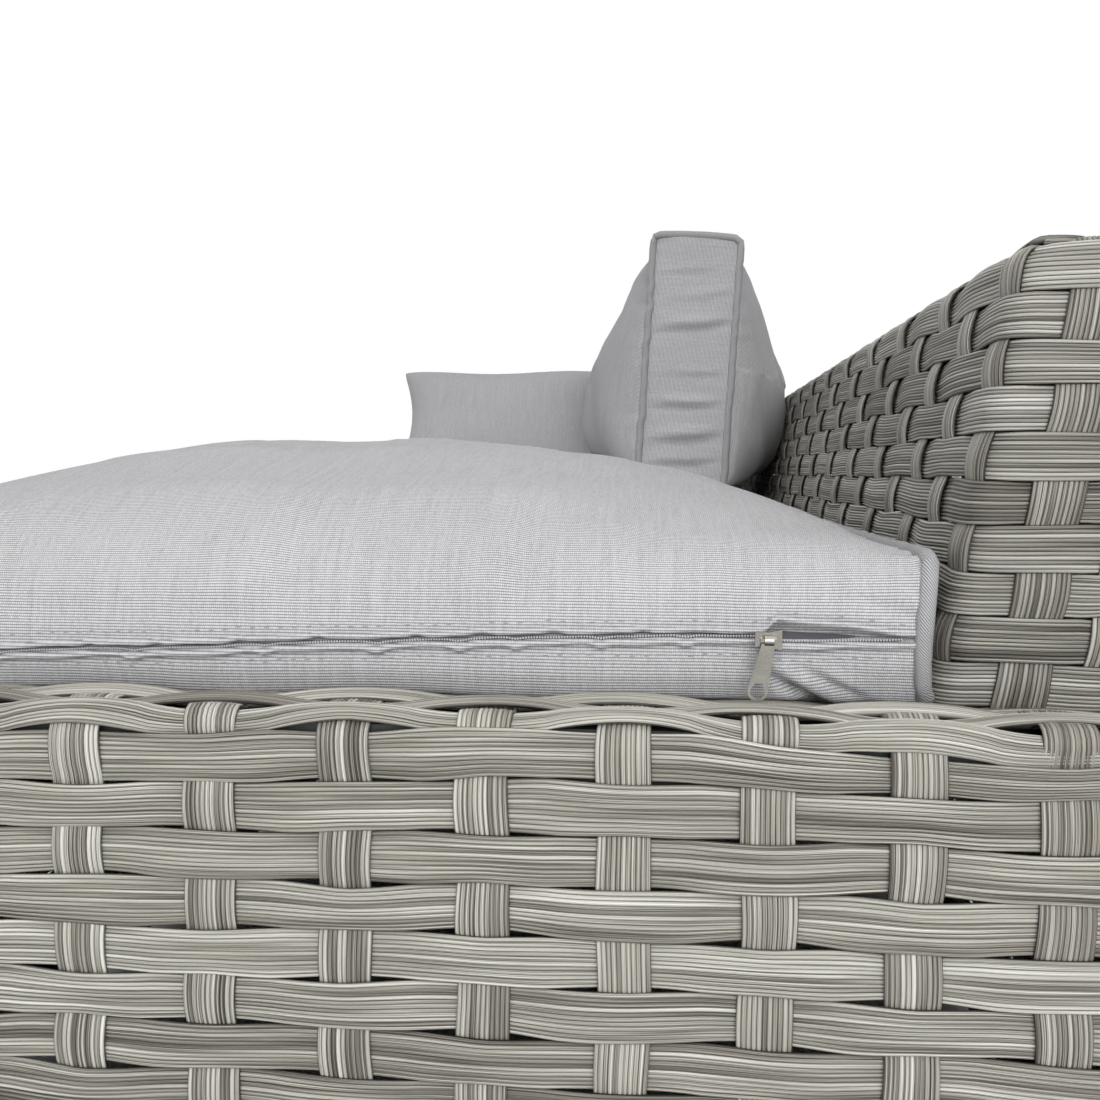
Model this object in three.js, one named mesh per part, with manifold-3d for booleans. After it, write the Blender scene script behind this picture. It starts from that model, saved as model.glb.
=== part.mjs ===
// A two-seat woven garden sofa with one arm and one open end: a tube frame under woven skins,
// two seat cushions, a back cushion, a scatter pillow, and a zip on the open end's cushion.
// Millimetres. X runs along the sofa, the open end at +X. The back is at +Y. Z is up from the floor.
// The origin is under the middle of the whole sofa's box.
import * as THREE from "three";
import { mergeVertices } from "three/addons/utils/BufferGeometryUtils.js";
import Module from "manifold-3d";

const wasm = await Module();
wasm.setup();

// Driving dimensions

// Whole sofa
const sofaLength = 1620;
const baseDepth = 720;
const deckHeight = 310;
const groundGap = 18; // from the floor to the woven skirt
const restGap = 0.3; // between pieces that touch
const cutOverrun = 2; // how far a cut runs past the piece
const mergeDistance = 1e-4; // corners closer than this are one

// Woven skins
const skinThickness = 5;
const rimRadius = 10; // rounded top edge of the base
const boxEdgeRadius = 12; // rounded top edges of backrest and arm
const rimSteps = 4;
const cornerSteps = 6;

// Frame tubes
const tubeWidth = 25;
const tubeWall = 1.5;
const legRadius = 15;
const legWall = 1.5;
const roundSides = 24;
const bottomRailRise = 5; // over the skirt's lower edge
const crossBarCount = 4;

// Foot glides
const glideHeight = 16;
const glideRadius = 16;
const glideFootRadius = 13;
const glidePlugHeight = 20;
const glideChamfer = 2;

// Backrest
const backrestRise = 205; // top over the deck
const backrestLean = THREE.MathUtils.degToRad(9);
const backrestThickness = 126;
const backrestFootInset = 135; // front face where it meets the deck, from the base's rear
const endSetback = 41; // of backrest and arm behind the base's faces
const backrestFarSetback = 10;
const uprightCount = 3;

// Arm
const armThickness = 120;

// Bolts
const boltRadius = 3;
const boltHoleClearance = 0.3;
const boltHeadRadius = 6;
const boltHeadHeight = 3.5;
const boltEndStand = 6; // thread standing inside the upper tube
const boltSides = 12;
const armBoltInset = 60; // from the arm's front and from the backrest

// Seat cushions
const seatBorder = 66;
const seatCrown = 125; // highest point over the deck
const seatNoseBulge = 9; // of the rounded ends along X
const seatFrontInset = 6; // behind the base's front face
const seatRearInset = 4; // before the backrest's foot
const seatSetback = 34; // of the open end's cushion behind the base's end
const cushionGap = 4; // between neighbouring cushions
const seatDrawIn = 5;
const coverWall = 3;
const seatColumns = 14;
const seatRows = 12;
const borderRows = 4;

// Back cushion
const backHeight = 281;
const backGusset = 105;
const backFrontCrown = 74;
const backRearCrown = 88;
const backNearInset = 31; // its near end beyond the middle of the sofa
const backArmGap = 58; // between its far end and the arm
const backFootRise = 81; // its sewn lower edge over the deck
const backTopBeforeFoot = 92; // its middle at the top, before the backrest's foot
const backLean = THREE.MathUtils.degToRad(2.5);
const backDrawIn = 6;
const backColumns = 14;
const backRows = 10;

// Scatter pillow
const pillowWidth = 330;
const pillowLength = 215;
const pillowThickness = 100;
const pillowSeam = 3;
const pillowEndDrawIn = 26; // of its short ends
const pillowSideDrawIn = 13; // of its long upper and lower edges
const pillowTilt = THREE.MathUtils.degToRad(60);
const pillowArmGap = 5; // from the arm's inner face to its upper edge
const pillowTopRise = 63; // its upper edge over the arm
const pillowFrontInset = 25; // behind the seat cushions' front
const pillowRestTilt = THREE.MathUtils.degToRad(66); // of its back over the arm's edge
const pillowEdgeGap = 1.2; // from the arm's rounded edge
const pillowColumns = 14;
const pillowRows = 14;

// Zip on the open end's cushion
const zipHeight = 31; // over the deck
const zipBandWidth = 7;
const zipBandThickness = 1.6;
const zipEndInset = 12; // from the cushion's front and rear faces
const zipMouthLength = 58;
const zipMouthWidth = 8;
const zipMouthPoints = 10;
const sliderLength = 11.5;
const sliderWidth = 9;
const sliderThickness = 3;
const sliderNeckShare = 0.7;
const bailHeight = 3.3;
const bailLength = 7;
const bailWidth = 1.4;
const bailWall = 1.1;
const pullLength = 27;
const pullWidth = 8.8;
const pullNeckWidth = 5.6;
const pullThickness = 1.2;
const pullRim = 1.3;
const pullLoopLength = 7;
const pullEyeRadius = 2.3;
const pullEyeBore = 1.25;
const pullEyeWidth = 4;
const pullTilt = THREE.MathUtils.degToRad(12);
const pullSides = 16;

// Crown shapes: the exponents of the rise from edge to middle
const crownEdgePower = 2.4;
const crownFullness = 0.75;
const pillowEdgePower = 4;
const pillowFullness = 0.62;

// Worked out from the dimensions above

const halfLength = sofaLength / 2;
const halfDepth = baseDepth / 2;
const leanShare = Math.tan(backrestLean);
const backrestDepth = backrestThickness / Math.cos(backrestLean);
const skinAcross = skinThickness / Math.cos(backrestLean);
const topZ = deckHeight + backrestRise;
const backrestFootY = halfDepth - backrestFootInset;
const armOuterX = -halfLength + endSetback;
const armInnerX = armOuterX + armThickness;
const armCentreX = (armOuterX + armInnerX) / 2;
const armFrontY = -halfDepth + endSetback;
const backrestNearX = halfLength - endSetback;
const backrestFarX = -halfLength + backrestFarSetback;
const seatNearX = halfLength - seatSetback;
const seatLength = (seatNearX - armInnerX - 2 * cushionGap) / 2;
const seatFrontY = -halfDepth + seatFrontInset;
const seatRearY = backrestFootY - seatRearInset;
const seatWidth = seatRearY - seatFrontY;
const seatMiddleY = (seatFrontY + seatRearY) / 2;
const seatBaseZ = deckHeight + restGap;
const sleeve = skinThickness + restGap;
const railMiddle = sleeve + tubeWidth / 2;
const legInset = sleeve + legRadius;
const planCorner = legInset;
const railTopZ = deckHeight - sleeve;
const railMiddleZ = railTopZ - tubeWidth / 2;

// Materials

const finishes = {
  woven: new THREE.MeshStandardMaterial({ color: 0x8d8a80, roughness: 0.6, metalness: 0 }),
  frame: new THREE.MeshStandardMaterial({ color: 0x5d5f61, roughness: 0.5, metalness: 0.3 }),
  plastic: new THREE.MeshStandardMaterial({ color: 0x26272a, roughness: 0.7, metalness: 0 }),
  steel: new THREE.MeshStandardMaterial({ color: 0xa4a6a8, roughness: 0.4, metalness: 0.9 }),
  cloth: new THREE.MeshStandardMaterial({ color: 0xb9b9bd, roughness: 0.9, metalness: 0 }),
  foam: new THREE.MeshStandardMaterial({ color: 0xe6e2d2, roughness: 0.9, metalness: 0 }),
  nylon: new THREE.MeshStandardMaterial({ color: 0x85868a, roughness: 0.7, metalness: 0 }),
  zipMetal: new THREE.MeshStandardMaterial({ color: 0xc9c2b0, roughness: 0.3, metalness: 1 }),
};

const sofa = new THREE.Group();

function add(name, geometry, finish, place = [0, 0, 0]) {
  const mesh = new THREE.Mesh(geometry, finishes[finish]);
  mesh.name = name;
  mesh.position.set(...place);
  sofa.add(mesh);
  return mesh;
}

// Solids that are cut or joined

function solidOf(geometry) {
  const bare = geometry.clone();
  bare.deleteAttribute("normal");
  bare.deleteAttribute("uv");
  const merged = mergeVertices(bare.index ? bare.toNonIndexed() : bare, mergeDistance);
  return new wasm.Manifold(new wasm.Mesh({
    numProp: 3,
    vertProperties: new Float32Array(merged.attributes.position.array),
    triVerts: new Uint32Array(merged.index.array),
  }));
}

function geometryOf(solid) {
  const mesh = solid.getMesh();
  const geometry = new THREE.BufferGeometry();
  geometry.setAttribute("position", new THREE.BufferAttribute(mesh.vertProperties, 3));
  geometry.setIndex(new THREE.BufferAttribute(mesh.triVerts, 1));
  const faceted = geometry.toNonIndexed();
  faceted.computeVertexNormals();
  return faceted;
}

const cut = (geometry, ...tools) =>
  geometryOf(tools.reduce((left, tool) => left.subtract(solidOf(tool)), solidOf(geometry)));

// Simple shapes

function blockBetween(low, high) {
  const size = high.map((value, i) => value - low[i]);
  const middle = high.map((value, i) => (value + low[i]) / 2);
  return new THREE.BoxGeometry(...size).translate(...middle);
}

// An outline through [across, up] points, turned to run anticlockwise.
function outlineOf(points) {
  const corners = points.map(([across, up]) => new THREE.Vector2(across, up));
  if (THREE.ShapeUtils.isClockWise(corners)) corners.reverse();
  return new THREE.Shape(corners);
}

function squareOutline(width, height) {
  const [a, b] = [width / 2, height / 2];
  return outlineOf([[-a, -b], [a, -b], [a, b], [-a, b]]);
}

const plainExtrude = (shape, depth) =>
  new THREE.ExtrudeGeometry(shape, { depth, bevelEnabled: false, curveSegments: rimSteps });

// A box-section tube centred on the origin, open at both ends.
function tube(axis, length, width = tubeWidth, height = tubeWidth) {
  const section = squareOutline(width, height);
  section.holes.push(squareOutline(width - 2 * tubeWall, height - 2 * tubeWall));
  const geometry = plainExtrude(section, length).translate(0, 0, -length / 2);
  if (axis === "x") geometry.rotateZ(Math.PI / 2).rotateY(Math.PI / 2);
  if (axis === "y") geometry.rotateX(Math.PI / 2);
  return geometry;
}

// A turned piece standing on Z, from [radius, height] points that start and end on the axis
// or come back to the first point.
function turned(points, sides) {
  const profile = points.map(([radius, height]) => new THREE.Vector2(radius, height));
  return new THREE.LatheGeometry(profile, sides).rotateX(Math.PI / 2);
}

const rod = (radius, low, high, sides) =>
  turned([[0, low], [radius, low], [radius, high], [0, high]], sides);

// Sections drawn in Y and Z and extruded along X, or drawn in X and Z and extruded along Y.
function alongX(shape, x0, x1) {
  const turn = new THREE.Matrix4().makeBasis(
    new THREE.Vector3(0, 1, 0), new THREE.Vector3(0, 0, 1), new THREE.Vector3(1, 0, 0));
  return plainExtrude(shape, x1 - x0).applyMatrix4(turn).translate(x0, 0, 0);
}

function alongY(shape, y0, y1) {
  return plainExtrude(shape, y1 - y0).rotateX(Math.PI / 2).translate(0, y1, 0);
}

// Base: rails, legs, cross bars and glides

const endRailLength = 2 * (halfDepth - legInset - legRadius - restGap);
const sideRailLength = 2 * (halfLength - legInset - legRadius - restGap);
const railRuns = {
  near_end: ["y", endRailLength, halfLength - railMiddle, 0],
  far_end: ["y", endRailLength, railMiddle - halfLength, 0],
  front: ["x", sideRailLength, 0, railMiddle - halfDepth],
  rear: ["x", sideRailLength, 0, halfDepth - railMiddle],
};
const bottomRailZ = groundGap + bottomRailRise + tubeWidth / 2;
for (const [level, z] of [["top", railMiddleZ], ["bottom", bottomRailZ]]) {
  for (const [name, [axis, length, x, y]] of Object.entries(railRuns)) {
    add(`${level}_rail_${name}`, tube(axis, length), "frame", [x, y, z]);
  }
}

const legBottomZ = glideHeight + restGap;
const legCorners = {
  near_front: [1, -1], near_rear: [1, 1], far_front: [-1, -1], far_rear: [-1, 1],
};
for (const [name, [alongSign, acrossSign]] of Object.entries(legCorners)) {
  const place = [alongSign * (halfLength - legInset), acrossSign * (halfDepth - legInset), 0];
  const bore = legRadius - legWall;
  const wallRing = [
    [bore, legBottomZ], [legRadius, legBottomZ], [legRadius, railTopZ], [bore, railTopZ],
    [bore, legBottomZ],
  ];
  add(`leg_${name}`, turned(wallRing, roundSides), "frame", place);
  const plug = bore - restGap;
  const glide = [
    [0, 0], [glideFootRadius, 0], [glideRadius, glideChamfer], [glideRadius, glideHeight],
    [plug, glideHeight], [plug, glideHeight + glidePlugHeight], [0, glideHeight + glidePlugHeight],
  ];
  add(`foot_glide_${name}`, turned(glide, roundSides), "plastic", place);
}

// The outermost bars lie under the arm and the same way in from the other end.
const crossBarX = Array.from({ length: crossBarCount }, (_, i) =>
  armCentreX * (1 - (2 * i) / (crossBarCount - 1)));
const backBottomTubeY = frontFaceY(deckHeight + restGap + tubeWidth) + skinAcross + restGap
  + tubeWidth / 2;
const armRearY = backrestFootY - restGap;
const armBoltY = [armFrontY + armBoltInset, armRearY - armBoltInset];
const backBolts = {
  far: crossBarX[0], middle: crossBarX[crossBarCount - 2], near: crossBarX[crossBarCount - 1],
};

function frontFaceY(z) {
  return backrestFootY + leanShare * (z - deckHeight);
}

const boltHole = (x, y, low, high) =>
  rod(boltRadius + boltHoleClearance, low, high, boltSides).translate(x, y, 0);

const barBottomZ = railTopZ - tubeWidth;
const barReach = 2 * (halfDepth - sleeve - tubeWidth - restGap);
crossBarX.forEach((x, i) => {
  const holes = Object.values(backBolts).filter((boltX) => boltX === x)
    .map((boltX) => [boltX, backBottomTubeY]);
  if (x === armCentreX) holes.push(...armBoltY.map((y) => [x, y]));
  const bar = tube("y", barReach).translate(x, 0, railMiddleZ);
  const drilled = holes.map(([holeX, holeY]) =>
    boltHole(holeX, holeY, barBottomZ - cutOverrun, railTopZ + cutOverrun));
  add(`seat_cross_bar_${i + 1}`, cut(bar, ...drilled), "frame");
});

// Bolts come up through the cross bars and the deck into the lowest tube of backrest or arm.
function bolt(name, x, y) {
  const headTop = barBottomZ - restGap;
  const headRise = boltHeadHeight / 2;
  const tip = deckHeight + restGap + tubeWall + boltEndStand;
  const profile = [
    [0, headTop - boltHeadHeight], [boltHeadRadius - headRise, headTop - boltHeadHeight],
    [boltHeadRadius, headTop - headRise], [boltHeadRadius, headTop], [boltRadius, headTop],
    [boltRadius, tip], [0, tip],
  ];
  add(name, turned(profile, boltSides), "steel", [x, y, 0]);
}
for (const [name, x] of Object.entries(backBolts)) bolt(`backrest_bolt_${name}`, x, backBottomTubeY);
bolt("arm_bolt_front", armCentreX, armBoltY[0]);
bolt("arm_bolt_rear", armCentreX, armBoltY[1]);

// Woven deck and skirt

const deckInset = rimRadius + restGap;
const deckCorner = planCorner - deckInset;
const deckHoles = [
  ...Object.values(backBolts).map((x) => [x, backBottomTubeY]),
  ...armBoltY.map((y) => [armCentreX, y]),
].map(([x, y]) => boltHole(x, y, deckHeight - skinThickness - cutOverrun, deckHeight + cutOverrun));

function roundedPlan(halfX, halfY, radius) {
  const shape = new THREE.Shape();
  const corners = [[1, 1, 0], [-1, 1, 1], [-1, -1, 2], [1, -1, 3]];
  corners.forEach(([alongSign, acrossSign, quarter]) => {
    const start = (quarter * Math.PI) / 2;
    const [x, y] = [alongSign * (halfX - radius), acrossSign * (halfY - radius)];
    shape.absarc(x, y, radius, start, start + Math.PI / 2);
  });
  shape.closePath();
  return shape;
}
const deckPlan = roundedPlan(halfLength - deckInset, halfDepth - deckInset, deckCorner);
const deckSlab = plainExtrude(deckPlan, skinThickness).translate(0, 0, deckHeight - skinThickness);
add("deck_weave", cut(deckSlab, ...deckHoles), "woven");

// The skirt's section as [distance in from the outer face, height].
function skirtSection() {
  const section = [
    [0, groundGap], [skinThickness, groundGap], [skinThickness, deckHeight - skinThickness],
    [rimRadius, deckHeight - skinThickness],
  ];
  for (let i = rimSteps; i >= 0; i -= 1) {
    const turn = (i / rimSteps) * (Math.PI / 2);
    section.push([
      rimRadius * (1 - Math.cos(turn)), deckHeight - rimRadius * (1 - Math.sin(turn))]);
  }
  return section;
}

// A closed body from equal rings of points, with flat ends. The outline runs anticlockwise.
function closedSweep(rings, endOutline) {
  const positions = rings.flat(2);
  const count = rings[0].length;
  const index = [];
  for (let ring = 0; ring + 1 < rings.length; ring += 1) {
    for (let i = 0; i < count; i += 1) {
      const [a, b] = [ring * count + i, ring * count + ((i + 1) % count)];
      index.push(a, b, b + count, a, b + count, a + count);
    }
  }
  const faces = THREE.ShapeUtils.triangulateShape(
    endOutline.map(([a, b]) => new THREE.Vector2(a, b)), []);
  const last = (rings.length - 1) * count;
  for (const [a, b, c] of faces) {
    index.push(a, c, b, last + a, last + b, last + c);
  }
  const geometry = new THREE.BufferGeometry();
  geometry.setAttribute("position", new THREE.Float32BufferAttribute(positions, 3));
  geometry.setIndex(index);
  return facingOut(geometry.toNonIndexed());
}

// Turns every face round where the body would be inside out.
function facingOut(geometry) {
  const p = geometry.attributes.position.array;
  let volume = 0;
  for (let i = 0; i < p.length; i += 9) {
    const [a, b, c] = [0, 3, 6].map((j) => new THREE.Vector3(...p.slice(i + j, i + j + 3)));
    volume += a.dot(b.cross(c));
  }
  if (volume < 0) {
    for (let i = 0; i < p.length; i += 9) {
      for (let j = 3; j < 6; j += 1) [p[i + j], p[i + j + 3]] = [p[i + j + 3], p[i + j]];
    }
  }
  geometry.computeVertexNormals();
  return geometry;
}

// Points on the outer plan with their outward directions, for one panel.
function panelStations(isEnd, sign) {
  if (!isEnd) {
    const reach = halfLength - planCorner - restGap;
    return [-reach, reach].map((x) => ({ at: [x, sign * halfDepth], out: [0, sign] }));
  }
  const stations = [];
  for (const acrossSign of [-1, 1]) {
    for (let i = 0; i <= cornerSteps; i += 1) {
      const share = acrossSign < 0 ? i / cornerSteps : 1 - i / cornerSteps;
      const turn = (share * Math.PI) / 2;
      const out = [sign * Math.sin(turn), acrossSign * Math.cos(turn)];
      const centre = [sign * (halfLength - planCorner), acrossSign * (halfDepth - planCorner)];
      stations.push({ at: centre.map((value, axis) => value + planCorner * out[axis]), out });
    }
  }
  return stations;
}

function skirtPanel(isEnd, sign) {
  const section = skirtSection();
  const rings = panelStations(isEnd, sign).map(({ at, out }) =>
    section.map(([inward, z]) => [at[0] - inward * out[0], at[1] - inward * out[1], z]));
  return closedSweep(rings, section);
}
add("skirt_near_end_weave", skirtPanel(true, 1), "woven");
add("skirt_far_end_weave", skirtPanel(true, -1), "woven");
add("skirt_front_weave", skirtPanel(false, -1), "woven");
add("skirt_rear_weave", skirtPanel(false, 1), "woven");

// Backrest: a leaning box of woven skins over tubes

// Rounds a corner of a path that comes from one point and goes on to another.
function roundCorner(shape, from, corner, to, radius) {
  const a = new THREE.Vector2(...corner);
  const before = new THREE.Vector2(...from).sub(a).setLength(radius).add(a);
  const after = new THREE.Vector2(...to).sub(a).setLength(radius).add(a);
  shape.lineTo(before.x, before.y);
  shape.quadraticCurveTo(a.x, a.y, after.x, after.y);
}

// A box section with a flat foot and rounded top corners; inset moves its faces inward.
function boxSection(footFront, footRear, leanTan, inset, acrossInset, rounded) {
  const bottom = deckHeight + restGap;
  const top = topZ - inset;
  const at = (footPosition, z) => footPosition + leanTan * (z - deckHeight);
  const front = footFront + acrossInset;
  const rear = footRear - acrossInset;
  const low = bottom - (rounded ? 0 : cutOverrun);
  const corners = [[at(front, low), low], [at(rear, low), low], [at(rear, top), top],
    [at(front, top), top]];
  if (!rounded) return outlineOf(corners);
  const shape = new THREE.Shape();
  shape.moveTo(...corners[0]);
  shape.lineTo(...corners[1]);
  roundCorner(shape, corners[1], corners[2], corners[3], boxEdgeRadius);
  roundCorner(shape, corners[2], corners[3], corners[0], boxEdgeRadius);
  shape.closePath();
  return shape;
}

const backrestSection = (inset, rounded) => boxSection(
  backrestFootY, backrestFootY + backrestDepth, leanShare, inset,
  inset / Math.cos(backrestLean), rounded);

// Cuts a hollow box skin into front, top and rear panels that meet with a small gap.
function skinPanels(shell, low, high, splitZ, splitAcross, acrossAxis) {
  const region = (acrossLow, acrossHigh, z0, z1) => {
    const [a, b] = [[...low], [...high]];
    a[acrossAxis] = Math.max(acrossLow, low[acrossAxis]);
    b[acrossAxis] = Math.min(acrossHigh, high[acrossAxis]);
    a[2] = z0;
    b[2] = z1;
    return solidOf(blockBetween(a, b));
  };
  const whole = solidOf(shell);
  const side = (from, to) => geometryOf(whole.intersect(region(from, to, low[2], splitZ)));
  return {
    first: side(-Infinity, splitAcross),
    second: side(splitAcross, Infinity),
    top: geometryOf(whole.intersect(region(-Infinity, Infinity, splitZ + restGap, high[2]))),
  };
}

const splitZ = topZ - boxEdgeRadius - skinThickness;
const shellLow = [-sofaLength, -sofaLength, deckHeight];
const shellHigh = [sofaLength, sofaLength, topZ + cutOverrun];
const backShellX = [backrestFarX + skinThickness + restGap, backrestNearX - skinThickness - restGap];
const backShell = cut(
  alongX(backrestSection(0, true), ...backShellX),
  alongX(backrestSection(skinThickness, false), backShellX[0] - cutOverrun,
    backShellX[1] + cutOverrun));
const backMiddleY = backrestFootY + backrestDepth / 2 + leanShare * (backrestRise / 2);
const backPanels = skinPanels(backShell, shellLow, shellHigh, splitZ, backMiddleY, 1);
add("backrest_front_weave", backPanels.first, "woven");
add("backrest_rear_weave", backPanels.second, "woven");
add("backrest_top_weave", backPanels.top, "woven");
add("backrest_near_end_weave",
  alongX(backrestSection(0, true), backrestNearX - skinThickness, backrestNearX), "woven");
add("backrest_far_end_weave",
  alongX(backrestSection(0, true), backrestFarX, backrestFarX + skinThickness), "woven");

const backTubeLength = backShellX[1] - backShellX[0];
const backTubeMiddleX = (backShellX[0] + backShellX[1]) / 2;
const lowTubeZ = deckHeight + restGap + tubeWidth / 2;
const highTubeZ = topZ - sleeve - tubeWidth / 2;
const rearFaceY = (z) => frontFaceY(z) + backrestDepth;
// A level tube inside the leaning front skin meets it with its upper front corner, and inside
// the rear skin with its lower rear corner.
const frontTubeY = (z) => frontFaceY(z + tubeWidth / 2) + skinAcross + restGap + tubeWidth / 2;
const rearTubeY = (z) => rearFaceY(z - tubeWidth / 2) - skinAcross - restGap - tubeWidth / 2;

const backBottomTube = tube("x", backTubeLength)
  .translate(backTubeMiddleX, backBottomTubeY, lowTubeZ);
add("backrest_bottom_tube", cut(backBottomTube, ...Object.values(backBolts).map((x) =>
  boltHole(x, backBottomTubeY, deckHeight - cutOverrun, lowTubeZ))), "frame");
add("backrest_top_front_tube", tube("x", backTubeLength), "frame",
  [backTubeMiddleX, frontTubeY(highTubeZ), highTubeZ]);
add("backrest_top_rear_tube", tube("x", backTubeLength), "frame",
  [backTubeMiddleX, rearTubeY(highTubeZ), highTubeZ]);

// A leaning upright, cut level at both ends.
function leaningUpright(x, lowY, lowZ, highZ) {
  const reach = highZ - lowZ + 2 * tubeWidth;
  const bar = tube("z", reach).rotateX(-backrestLean);
  const middleZ = (lowZ + highZ) / 2;
  bar.translate(x, lowY + leanShare * (middleZ - lowZ), middleZ);
  const slab = blockBetween([x - tubeWidth, -sofaLength, lowZ], [x + tubeWidth, sofaLength, highZ]);
  return geometryOf(solidOf(bar).intersect(solidOf(slab)));
}
const uprightLowZ = deckHeight + 2 * restGap + tubeWidth;
const uprightHighZ = topZ - sleeve - tubeWidth - restGap;
const uprightHalf = tubeWidth / 2 / Math.cos(backrestLean);
const uprightX = Array.from({ length: uprightCount }, (_, i) => backShellX[0] + tubeWidth / 2
  + (i / (uprightCount - 1)) * (backTubeLength - tubeWidth));
const uprightNames = ["far", "middle", "near"];
uprightX.forEach((x, i) => {
  const lowY = frontFaceY(uprightLowZ) + skinAcross + restGap + uprightHalf;
  const part = leaningUpright(x, lowY, uprightLowZ, uprightHighZ);
  add(`backrest_front_upright_${uprightNames[i]}`, part, "frame");
});
for (const [name, x] of [["far", uprightX[0]], ["near", uprightX[uprightCount - 1]]]) {
  const lowZ = deckHeight + restGap;
  const lowY = rearFaceY(lowZ) - skinAcross - restGap - uprightHalf;
  add(`backrest_rear_upright_${name}`, leaningUpright(x, lowY, lowZ, uprightHighZ), "frame");
}

// Arm: a level box that butts the backrest's leaning face

const armSection = (inset, rounded) =>
  boxSection(armOuterX, armInnerX, 0, inset, inset, rounded);
const backrestGrown = alongX(boxSection(
  backrestFootY, backrestFootY + backrestDepth, leanShare, -cutOverrun, -restGap, false),
-sofaLength, sofaLength);
const armShellY = [armFrontY + skinThickness + restGap, backMiddleY];
const armShell = cut(
  alongY(armSection(0, true), ...armShellY),
  alongY(armSection(skinThickness, false), armShellY[0] - cutOverrun, armShellY[1] + cutOverrun),
  backrestGrown);
const armPanels = skinPanels(armShell, shellLow, shellHigh, splitZ, armCentreX, 0);
add("arm_outer_weave", armPanels.first, "woven");
add("arm_inner_weave", armPanels.second, "woven");
add("arm_top_weave", armPanels.top, "woven");
add("arm_front_weave",
  alongY(armSection(0, true), armFrontY, armFrontY + skinThickness), "woven");

const armRailWidth = armThickness - 2 * sleeve;
function armRail(name, z, drilled) {
  const length = armShellY[1] - armShellY[0];
  const rail = tube("y", length, armRailWidth, tubeWidth)
    .translate(armCentreX, (armShellY[0] + armShellY[1]) / 2, z);
  add(name, cut(rail, backrestGrown, ...drilled), "frame");
}
armRail("arm_bottom_rail", lowTubeZ,
  armBoltY.map((y) => boltHole(armCentreX, y, deckHeight - cutOverrun, lowTubeZ)));
armRail("arm_top_rail", highTubeZ, []);
const armUprightLength = uprightHighZ - uprightLowZ;
const armUprightZ = (uprightHighZ + uprightLowZ) / 2;
const armUprights = {
  front: armShellY[0] + tubeWidth / 2,
  rear: frontFaceY(uprightLowZ) - restGap - tubeWidth / 2,
};
for (const [name, y] of Object.entries(armUprights)) {
  const part = tube("z", armUprightLength, armRailWidth, tubeWidth);
  add(`arm_upright_${name}`, part, "frame", [armCentreX, y, armUprightZ]);
}

// Padded forms: two crowned faces over a border, drawn in between the corners

// The rise of a crown at u, v in -1..1.
const crownShare = (u, v, power, fullness) =>
  ((1 - Math.abs(u) ** power) * (1 - Math.abs(v) ** power)) ** fullness;

// The body lies in X and Y with its border between z = 0 and border.
function paddedBody(form) {
  const { halfX, halfY, border, columns, rows, wallRows } = form;
  const drawnX = (u, v) => u * (halfX - form.drawInX * (1 - v * v));
  const drawnY = (u, v) => v * (halfY - form.drawInY * (1 - u * u));
  const face = (u, v, up) => {
    const rise = crownShare(u, v, form.power, form.fullness);
    return [drawnX(u, v), drawnY(u, v), up ? border + form.crown * rise : -form.underCrown * rise];
  };
  const positions = [];
  const at = (i, j, up) => face((2 * i) / columns - 1, (2 * j) / rows - 1, up);
  const quad = (a, b, c, d) => positions.push(...a, ...b, ...c, ...a, ...c, ...d);
  for (let i = 0; i < columns; i += 1) {
    for (let j = 0; j < rows; j += 1) {
      quad(at(i, j, true), at(i + 1, j, true), at(i + 1, j + 1, true), at(i, j + 1, true));
      quad(at(i, j, false), at(i, j + 1, false), at(i + 1, j + 1, false), at(i + 1, j, false));
    }
  }
  const edge = [];
  for (let i = 0; i < columns; i += 1) edge.push([i, 0]);
  for (let j = 0; j < rows; j += 1) edge.push([columns, j]);
  for (let i = columns; i > 0; i -= 1) edge.push([i, rows]);
  for (let j = rows; j > 0; j -= 1) edge.push([0, j]);
  const wallPoint = ([i, j], row) => {
    const [x, y] = at(i, j, true);
    const share = row / wallRows;
    const u = (2 * i) / columns - 1;
    const bulge = form.bulge * Math.sin(share * Math.PI);
    const isEnd = i === 0 || i === columns;
    return [isEnd ? x + Math.sign(u) * bulge : x, y, share * border];
  };
  edge.forEach((from, k) => {
    const to = edge[(k + 1) % edge.length];
    for (let row = 0; row < wallRows; row += 1) {
      quad(wallPoint(from, row), wallPoint(to, row), wallPoint(to, row + 1),
        wallPoint(from, row + 1));
    }
  });
  const geometry = new THREE.BufferGeometry();
  geometry.setAttribute("position", new THREE.Float32BufferAttribute(positions, 3));
  return facingOut(geometry);
}

// A seat cushion with flat underside; shrink makes the inside of its cover.
function seatForm(shrink) {
  return paddedBody({
    halfX: seatLength / 2 - seatNoseBulge - shrink,
    halfY: seatWidth / 2 - shrink,
    border: seatBorder - 2 * shrink,
    crown: seatCrown - seatBorder,
    underCrown: 0,
    bulge: seatNoseBulge,
    drawInX: 0,
    drawInY: seatDrawIn,
    power: crownEdgePower,
    fullness: crownFullness,
    columns: seatColumns,
    rows: seatRows,
    wallRows: borderRows,
  }).translate(0, 0, shrink);
}

const nearSeatX = seatNearX - seatLength / 2;
const farSeatX = nearSeatX - seatLength - cushionGap;
const placeSeat = (geometry, x) => geometry.translate(x, seatMiddleY, seatBaseZ);

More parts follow.
